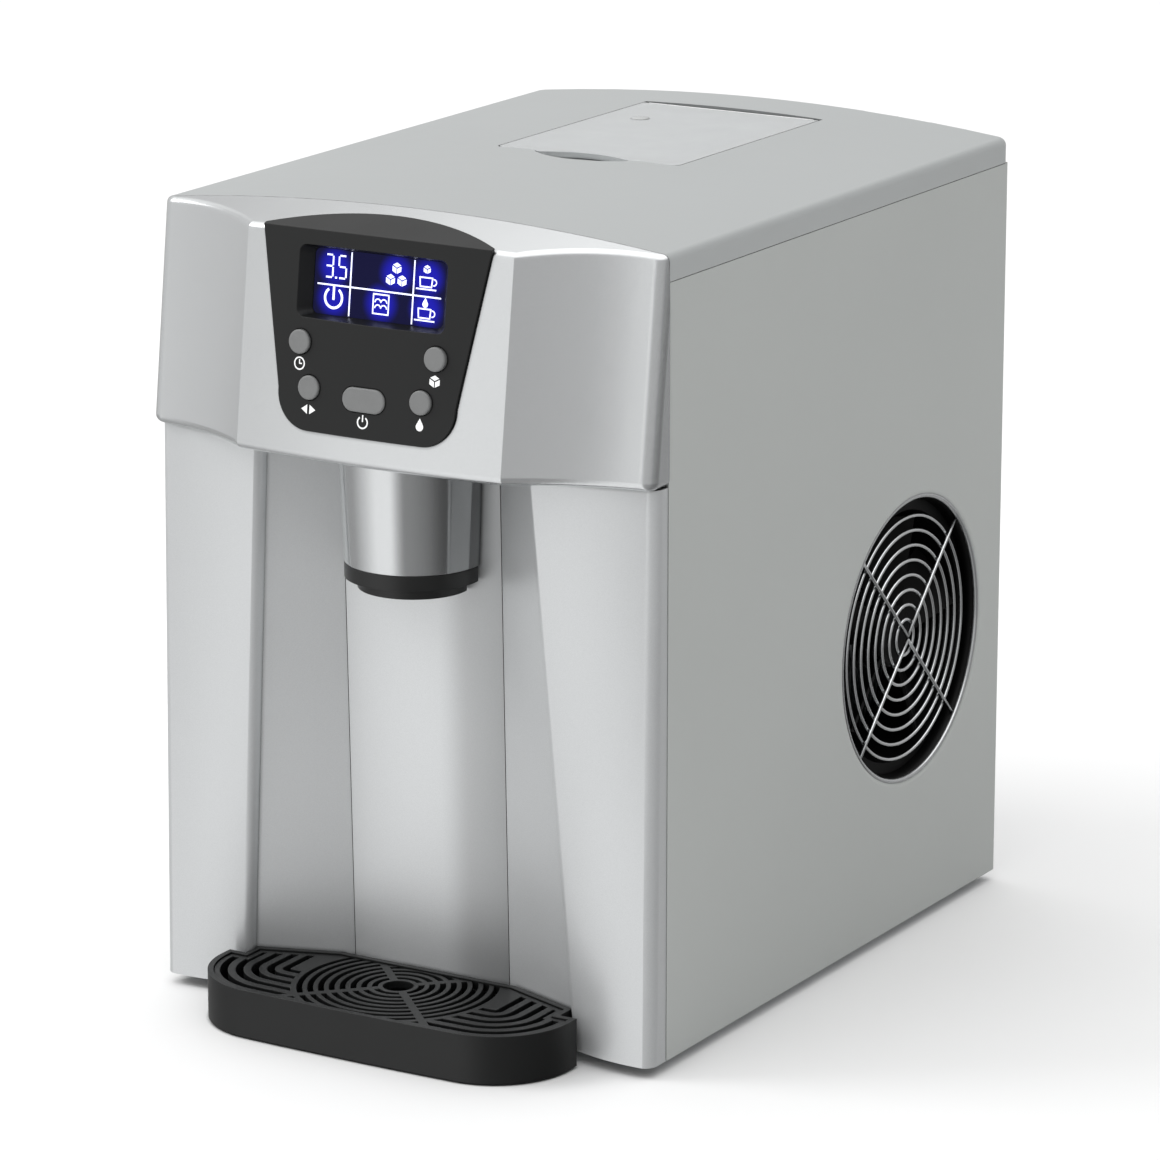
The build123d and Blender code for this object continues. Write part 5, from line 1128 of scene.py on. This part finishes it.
@dataclass
class Head(Assembly):
    """Lacquered head, pillars, column and spout."""

    finishes: dict[str, Finish] = dressed(
        head_fascia=HEAD_LACQUER, lower_fascia=NICHE_LACQUER, niche_column=COLUMN_LACQUER_PAINTED_SHADE,
        spout_shroud=SPOUT_LACQUER_PAINTED_SHADE, chute_collar=TRIM_BLACK, chute_nozzle=TRIM_BLACK,
        water_outlet_tube=SILICONE, ice_chute=BIN_WHITE, chute_flap=BIN_WHITE, flap_motor=TRIM_BLACK,
    )


@dataclass
class PanelPlane:
    """Leaning plane of the control panel.

    Attributes:
        seam_mm: Y of the seam plane.
        front_mm: how far the head stands before the seam at its bottom edge.
        foot_mm: level of that edge.
        lean: how far the plane leans back for each unit of height.
    """

    seam_mm: float = -146.4
    front_mm: float = 46.8
    foot_mm: float = 296.5
    lean: float = 0.125

    def outward(self) -> Vector:
        """Unit normal, away from the machine."""
        return Vector((0.0, -1.0, self.lean)).normalized()

    def point(self, right: float, level: float, out: float) -> Vector:
        """Place in metres, from millimetres right of the middle, above the worktop and out of the plane."""
        back = self.seam_mm - self.front_mm + self.lean * (level - self.foot_mm)
        return (Vector((right, back, level)) + out * self.outward()) * MM


@dataclass
class Panel(Assembly):
    """Control bezel with its display, its buttons and their printed symbols.

    Attributes:
        plane: where the panel lies.
        lens_out_mm: front of the display cover, measured from the plane.
        print_mm: thickness of ink and display segments.
        display_level_mm: middle of the display.
        display_width_mm: width of its lit area.
        display_height_mm: height of its lit area.
        left_rule_mm: left upright rule of the display.
        right_rule_mm: its right upright rule.
        level_rule_mm: level of its cross rule.
        rule_width_mm: width of the rules.
        cubes_shift_mm: how far the ice cubes stand right of the middle of their cell.
        digit_mm: width, height and line of a figure.
        digits: lit segments of each figure, and its left edge from the cell's middle.
        digit_drop_mm: foot of the figures under the cell's middle.
        upper_key_mm: place of the upper right button; the upper left one mirrors it.
        lower_key_mm: place of the lower right button; the lower left one mirrors it.
        middle_key_mm: place of the middle button.
        symbol_drop_mm: middle of a symbol under its button.
        probe_mm: where the rays start that find the bezel, before the plane.
        lift_share: gap behind ink and segments, as a share of their thickness.
    """

    plane: PanelPlane = field(default_factory=PanelPlane)
    lens_out_mm: float = -6.5
    print_mm: float = 0.05
    display_level_mm: float = 384.0
    display_width_mm: float = 70.0
    display_height_mm: float = 30.0
    left_rule_mm: float = -16.5
    right_rule_mm: float = 19.5
    level_rule_mm: float = 382.6
    rule_width_mm: float = 0.75
    cubes_shift_mm: float = 8.0
    digit_mm: Place = (4.2, 10.8, 0.85)
    digits: tuple[tuple[str, float], ...] = (("abgcd", -5.4), ("afgcd", 2.2))
    digit_drop_mm: float = 5.2
    upper_key_mm: Flat = (38.8, 354.4)
    lower_key_mm: Flat = (32.0, 332.8)
    middle_key_mm: Flat = (0.0, 330.2)
    symbol_drop_mm: float = 10.6
    probe_mm: float = 8.0
    lift_share: float = 0.3

    def __post_init__(self) -> None:
        """Names the finishes once the places of the symbols are known."""
        centres = tuple(tuple(self.lens_point(x, z) / MM) for x, z in self.lit_places())
        # Backlit acrylic cover: nearly black, with a violet-blue light round each symbol
        glow = DisplayCover(
            "pmma_display_cover_backlit", "03030A", 0.16, Grain.POLISHED, grain_mm=2.0, relief_mm=0.001,
            tone_share=0.05, drift_mm=20.0, edge_mm=0.2, ior=1.22, centres_mm=centres,
        )
        self.finishes = {
            "control_bezel": PANEL_BLACK,
            "lcd_lens": glow,
            "lcd_module": BIN_WHITE,
            "display_board": SOLDER_MASK,
            **{f"{key}_button": BUTTON_GREY for key in ("timer", "select", "power", "ice", "water")},
        }

    def lens_point(self, right: float, level: float) -> Vector:
        """Place on the face of the display cover."""
        return self.plane.point(right, level, self.lens_out_mm)

    def lit_places(self) -> list[Flat]:
        """Places the display's symbols in its cells.

        Returns:
            Middle of each symbol, right and level in millimetres.
        """
        left = (self.left_rule_mm - self.display_width_mm / 2) / 2
        right = (self.right_rule_mm + self.display_width_mm / 2) / 2
        middle = (self.left_rule_mm + self.right_rule_mm) / 2
        cubes = middle + self.cubes_shift_mm
        top = self.display_level_mm + self.display_height_mm / 4
        low = self.display_level_mm - self.display_height_mm / 4
        return [(left, top), (left, low), (cubes, top), (right, top), (right, low), (middle, low)]

    def build(self) -> None:
        """Adds the display's symbols and the printed button symbols."""
        self.lay("lcd_symbols", self.display_pen(), SEGMENT_LIGHT, None)
        self.lay("panel_print", self.print_pen(), PANEL_INK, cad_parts["control_bezel"])

    def display_pen(self) -> FlatPen:
        """Draws the rules and symbols of the display.

        Returns:
            The pen with its shapes, in right and level millimetres.
        """
        pen = FlatPen()
        half, low = self.display_width_mm / 2, self.display_level_mm - self.display_height_mm / 2
        high = self.display_level_mm + self.display_height_mm / 2
        pen.stroke([(-half, self.level_rule_mm), (half, self.level_rule_mm)], self.rule_width_mm)
        for x in (self.left_rule_mm, self.right_rule_mm):
            pen.stroke([(x, low), (x, high)], self.rule_width_mm)
        hours, power, cubes, cup_ice, cup_water, jug = self.lit_places()
        foot = hours[1] - self.digit_drop_mm
        for lit, left in self.digits:
            pen.digit((hours[0] + left, foot), lit, *self.digit_mm)
        dot_left, dot_right = hours[0] + 0.7, hours[0] + 0.9
        pen.stroke([(dot_left, foot), (dot_right, foot)], width=0.95)
        self.switch(pen, power, radius=4.9, line=1.25, steps=32, bar=(-0.4, 5.6, 1.2))
        stack = ((0.0, 3.0), (-3.3, -2.8), (3.3, -2.8))
        for dx, dy in stack:
            pen.cube((cubes[0] + dx, cubes[1] + dy), size=2.9, line=0.5)
        self.mug(pen, cup_ice)
        pen.cube((cup_ice[0] - 0.6, cup_ice[1] + 4.2), size=2.3, line=0.45)
        self.mug(pen, cup_water)
        pen.drop((cup_water[0] - 0.6, cup_water[1] + 2.4), size=4.8)
        self.tank(pen, jug)
        return pen

    @staticmethod
    def switch(pen: FlatPen, middle: Flat, radius: float, line: float, steps: int, bar: Place) -> None:
        """Draws an open ring with an upright bar.

        Args:
            pen: pen that draws it.
            middle: middle of the ring.
            radius: radius of the ring.
            line: width of the ring.
            steps: parts of the ring.
            bar: foot and top of the bar above the middle, and its width.
        """
        x, y = middle
        foot, top, width = bar
        pen.arc(middle, radius, line, start=125.0, end=415.0, steps=steps)
        pen.stroke([(x, y + foot), (x, y + top)], width)

    @staticmethod
    def mug(pen: FlatPen, middle: Flat) -> None:
        """Draws a mug with a handle, on a saucer, below the middle of a cell.

        Args:
            pen: pen that draws it.
            middle: middle of the cell.
        """
        x, y = middle[0] - 0.8, middle[1] - 5.4
        rim, base, top, low = 3.6, 3.2, y + 5.6, y + 1.2
        handle, saucer = (x + 4.4, y + 3.6), [(x - 5.2, y), (x + 5.6, y)]
        pen.stroke([(x - rim, top), (x - base, low), (x + base, low), (x + rim, top)], width=0.7, closed=True)
        pen.arc(handle, radius=1.5, width=0.6, start=-100.0, end=100.0, steps=14)
        pen.stroke(saucer, width=0.7)

    @staticmethod
    def tank(pen: FlatPen, middle: Flat) -> None:
        """Draws a water tank with two waves.

        Args:
            pen: pen that draws it.
            middle: middle of the cell.
        """
        x, y = middle
        half, low, high, wave = 4.4, y - 5.0, y + 4.4, 1.7
        pen.stroke([(x - half, low), (x + half, low), (x + half, high), (x - half, high)], 0.7, closed=True)
        lower_wave, upper_wave = y - 2.4, y + 0.4
        for level in (lower_wave, upper_wave):
            for side in (-1, 1):
                pen.arc((x + side * wave, level), wave, width=0.6, start=0.0, end=180.0, steps=12)

    def print_pen(self) -> FlatPen:
        """Draws a symbol under each button.

        Returns:
            The pen with its shapes, in right and level millimetres.
        """
        pen = FlatPen()
        keys = (self.upper_key_mm, self.lower_key_mm, self.middle_key_mm)
        upper, lower, middle = ((x, z - self.symbol_drop_mm) for x, z in keys)
        x, z = -upper[0], upper[1]
        hands = [(x, z + 1.7), (x, z), (x + 1.2, z)]
        pen.arc((x, z), radius=2.9, width=0.7, start=0.0, end=360.0, steps=32)
        pen.stroke(hands, width=0.6)
        x, z = -lower[0], lower[1]
        base, tip, half = 0.7, 4.2, 2.3
        for side in (-1, 1):
            pen.blob([(x + side * base, z - half), (x + side * tip, z), (x + side * base, z + half)][::side])
        self.switch(pen, middle, radius=2.8, line=0.75, steps=28, bar=(0.6, 3.3, 0.7))
        pen.cube(upper, size=3.2, line=0.55)
        pen.drop((lower[0], lower[1] - 1.0), size=6.2)
        return pen

    def lay(self, name: str, pen: FlatPen, finish: Finish, on: bpy.types.Object | None) -> None:
        """Lays a pen's shapes on the display cover, or on a curved node before it.

        Args:
            name: name of the piece.
            pen: shapes in right and level millimetres.
            finish: what they are made of.
            on: node that the shapes lie on, or None for the flat display cover.
        """
        outward = self.plane.outward()
        surface = BVHTree.FromObject(on, bpy.context.evaluated_depsgraph_get()) if on else None
        mesh = bmesh.new()
        for shape in pen.shapes:
            corners = []
            for right, level in shape:
                place = self.lens_point(right, level)
                if surface:
                    start = self.plane.point(right, level, self.probe_mm)
                    hit = surface.ray_cast(start, -outward)[0]
                    place = hit if hit else start
                corners.append(place + outward * self.lift_share * self.print_mm * MM)
            backs = [mesh.verts.new(c) for c in corners]
            fronts = [mesh.verts.new(c + outward * self.print_mm * MM) for c in corners]
            mesh.faces.new(fronts)
            mesh.faces.new(backs[::-1])
            join_loops(mesh, fronts, backs)
        bmesh.ops.recalc_face_normals(mesh, faces=mesh.faces)
        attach(new_piece(name, mesh, finish, smooth=False), Body.CABINET.value)


@dataclass
class DripTray(Assembly):
    """Tray and its lift-out grille."""

    finishes: dict[str, Finish] = dressed(drip_tray=TRAY_BLACK, drip_grille=TRAY_BLACK)


@dataclass
class FanGuard(Assembly):
    """Round guard wires, a rim in lighter lacquer as a painted highlight, and a black band over the inside of
    the pressed opening in the right side.

    Attributes:
        middle_mm: Y and Z of the opening's middle.
        ring_x_mm: X of the rings' middle.
        chevron_x_mm: X of the chevrons' middle.
        wire_r_mm: radius of a wire.
        outer_r_mm: radius of the outermost ring.
        pitch_mm: step from ring to ring.
        ring_count: number of rings.
        points_per_mm: points of a ring for each millimetre of its radius.
        least_points: fewest points of a ring.
        reach_mm: how far the chevrons reach, from the middle to the pressed lip.
        arms: direction of each chevron arm in degrees, and 1 for the upper chevron or -1 for the lower one.
        arm_stops: places of an arm's points, as shares of its reach.
        tip_shift_mm: how far each chevron is moved up or down, so that the two lie beside each other.
        highlight_rim_mm: X, radius and wire radius of the rim on the pressed lip, in lighter lacquer than the
            side paint as a painted highlight.
        black_band_mm: X and radius of each corner of the black band inside the lip.
        opening_corners: corners of the rim and the black band all the way round.
    """

    middle_mm: Flat = (109.6, 160.0)
    ring_x_mm: float = 139.55
    chevron_x_mm: float = 141.45
    wire_r_mm: float = 0.95
    outer_r_mm: float = 64.5
    pitch_mm: float = 7.85
    ring_count: int = 8
    points_per_mm: float = 1.6
    least_points: int = 24
    reach_mm: float = 74.5
    arms: tuple[tuple[int, int], ...] = ((45, 1), (135, 1), (225, -1), (315, -1))
    arm_stops: tuple[float, ...] = (0.0, 0.25, 0.5, 0.75, 1.0)
    tip_shift_mm: float = 0.95
    highlight_rim_mm: Place = (142.7, 75.6, 1.35)
    black_band_mm: tuple[Flat, ...] = (
        (141.9, 75.2), (140.5, 74.9), (136.6, 72.9), (136.6, 72.7), (140.5, 74.6), (141.9, 74.9),
    )
    opening_corners: int = 180
    finishes: dict[str, Finish] = dressed(
        vent_guard=GUARD_CHROME, fan_shroud=FAN_BLACK, fan_motor=CAST_ZINC, fan_blades=FAN_BLACK,
    )

    def build(self) -> None:
        """Bends the guard's round wires, which stand for the squared CAD ones, and finishes the opening."""
        mesh = bmesh.new()
        wire = self.wire_r_mm * MM
        for ring in range(self.ring_count):
            radius = self.outer_r_mm - self.pitch_mm * ring
            count = max(int(radius * self.points_per_mm), self.least_points)
            sweep_wire(mesh, self.circle(self.ring_x_mm, radius, count), RIGHTWARD, wire, True)
        for turn, side in self.arms:
            sweep_wire(mesh, self.arm(turn, side * self.tip_shift_mm), RIGHTWARD, wire, False)
        bmesh.ops.recalc_face_normals(mesh, faces=mesh.faces)
        guard = new_piece("guard_wires", mesh, GUARD_CHROME)
        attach(guard, Body.CABINET.value)
        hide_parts("vent_guard")
        self.rim()
        self.black_band()

    def rim(self) -> None:
        """Lays the rim round the pressed opening, in the head's lighter lacquer: a painted highlight on the
        side panel's lip.
        """
        mesh = bmesh.new()
        x, radius, wire = self.highlight_rim_mm
        sweep_wire(mesh, self.circle(x, radius, self.opening_corners), RIGHTWARD, wire * MM, True)
        bmesh.ops.recalc_face_normals(mesh, faces=mesh.faces)
        # Lighter lacquer than the grey side paint: a painted highlight along the lip
        rim = new_piece("vent_lip_highlight_rim", mesh, HEAD_LACQUER)
        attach(rim, Body.CABINET.value)

    def black_band(self) -> None:
        """Turns the black band that covers the inside of the pressed lip."""
        mesh = bmesh.new()
        circles = [self.circle(x, radius, self.opening_corners) for x, radius in self.black_band_mm]
        loops = [[mesh.verts.new(point) for point in circle] for circle in circles]
        for first, second in zip(loops, loops[1:] + loops[:1]):
            join_loops(mesh, second, first)
        bmesh.ops.recalc_face_normals(mesh, faces=mesh.faces)
        black_band = new_piece("vent_lip_black_band", mesh, FAN_BLACK)
        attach(black_band, Body.CABINET.value)

    def circle(self, x_mm: float, radius_mm: float, count: int) -> list[Vector]:
        """Points of a circle round the middle of the opening.

        Args:
            x_mm: X of its plane.
            radius_mm: its radius.
            count: number of points.

        Returns:
            Its points in metres.
        """
        y, z = self.middle_mm
        turns = [ROUND * i / count for i in range(count)]
        return [Vector((x_mm, y + radius_mm * math.cos(t), z + radius_mm * math.sin(t))) * MM for t in turns]

    def arm(self, degrees: float, shift_mm: float) -> list[Vector]:
        """Middle line of one chevron arm, from the tip out to the pressed lip.

        Args:
            degrees: direction in which the arm leaves the middle.
            shift_mm: how far the arm is lifted.

        Returns:
            Its points in metres.
        """
        y, z = self.middle_mm
        turn = math.radians(degrees)
        reach = math.sqrt(self.reach_mm ** 2 - shift_mm ** 2) - abs(shift_mm)
        steps = [reach * share for share in self.arm_stops]
        return [
            Vector((self.chevron_x_mm, y + step * math.cos(turn), z + shift_mm + step * math.sin(turn))) * MM
            for step in steps
        ]


@dataclass
class ColdSide(Assembly):
    """Ice bin, auger, evaporator and its tilting tray."""

    finishes: dict[str, Finish] = dressed(
        ice_bin=BIN_WHITE, bin_insulation=BEAD_FOAM, auger=STAINLESS, auger_motor=CAST_ZINC,
        evaporator=NICKEL, water_tray=BIN_WHITE, water_tray_motor=TRIM_BLACK,
    )


@dataclass
class HotSide(Assembly):
    """Condenser, compressor and their lines."""

    finishes: dict[str, Finish] = dressed(
        condenser=FIN_ALUMINIUM, condenser_bends=COPPER, compressor=POT_ENAMEL, compressor_bushes=RUBBER,
        filter_drier=COPPER, refrigerant_lines=COPPER,
    )


@dataclass
class WaterSide(Assembly):
    """Tank, pump, float and hose."""

    finishes: dict[str, Finish] = dressed(
        water_tank=TANK_CLEAR, drain_plug=TRIM_BLACK, float_stem=STAINLESS, level_float=BIN_WHITE,
        water_pump=TRIM_BLACK, water_hose=SILICONE,
    )


@dataclass
class Electrics(Assembly):
    """Main board, its carrier and the supply socket."""

    finishes: dict[str, Finish] = dressed(
        board_carrier=TRIM_BLACK, main_board=SOLDER_MASK, power_inlet=TRIM_BLACK,
    )


def main() -> None:
    """Builds the studio, then dresses and builds each sub-assembly."""
    logging.basicConfig(level=logging.INFO)
    Studio().build()
    for make in (Case, Lid, Head, Panel, DripTray, FanGuard, ColdSide, HotSide, WaterSide, Electrics):
        assembly = make()
        assembly.dress()
        assembly.build()


if __name__ == "__main__":
    main()
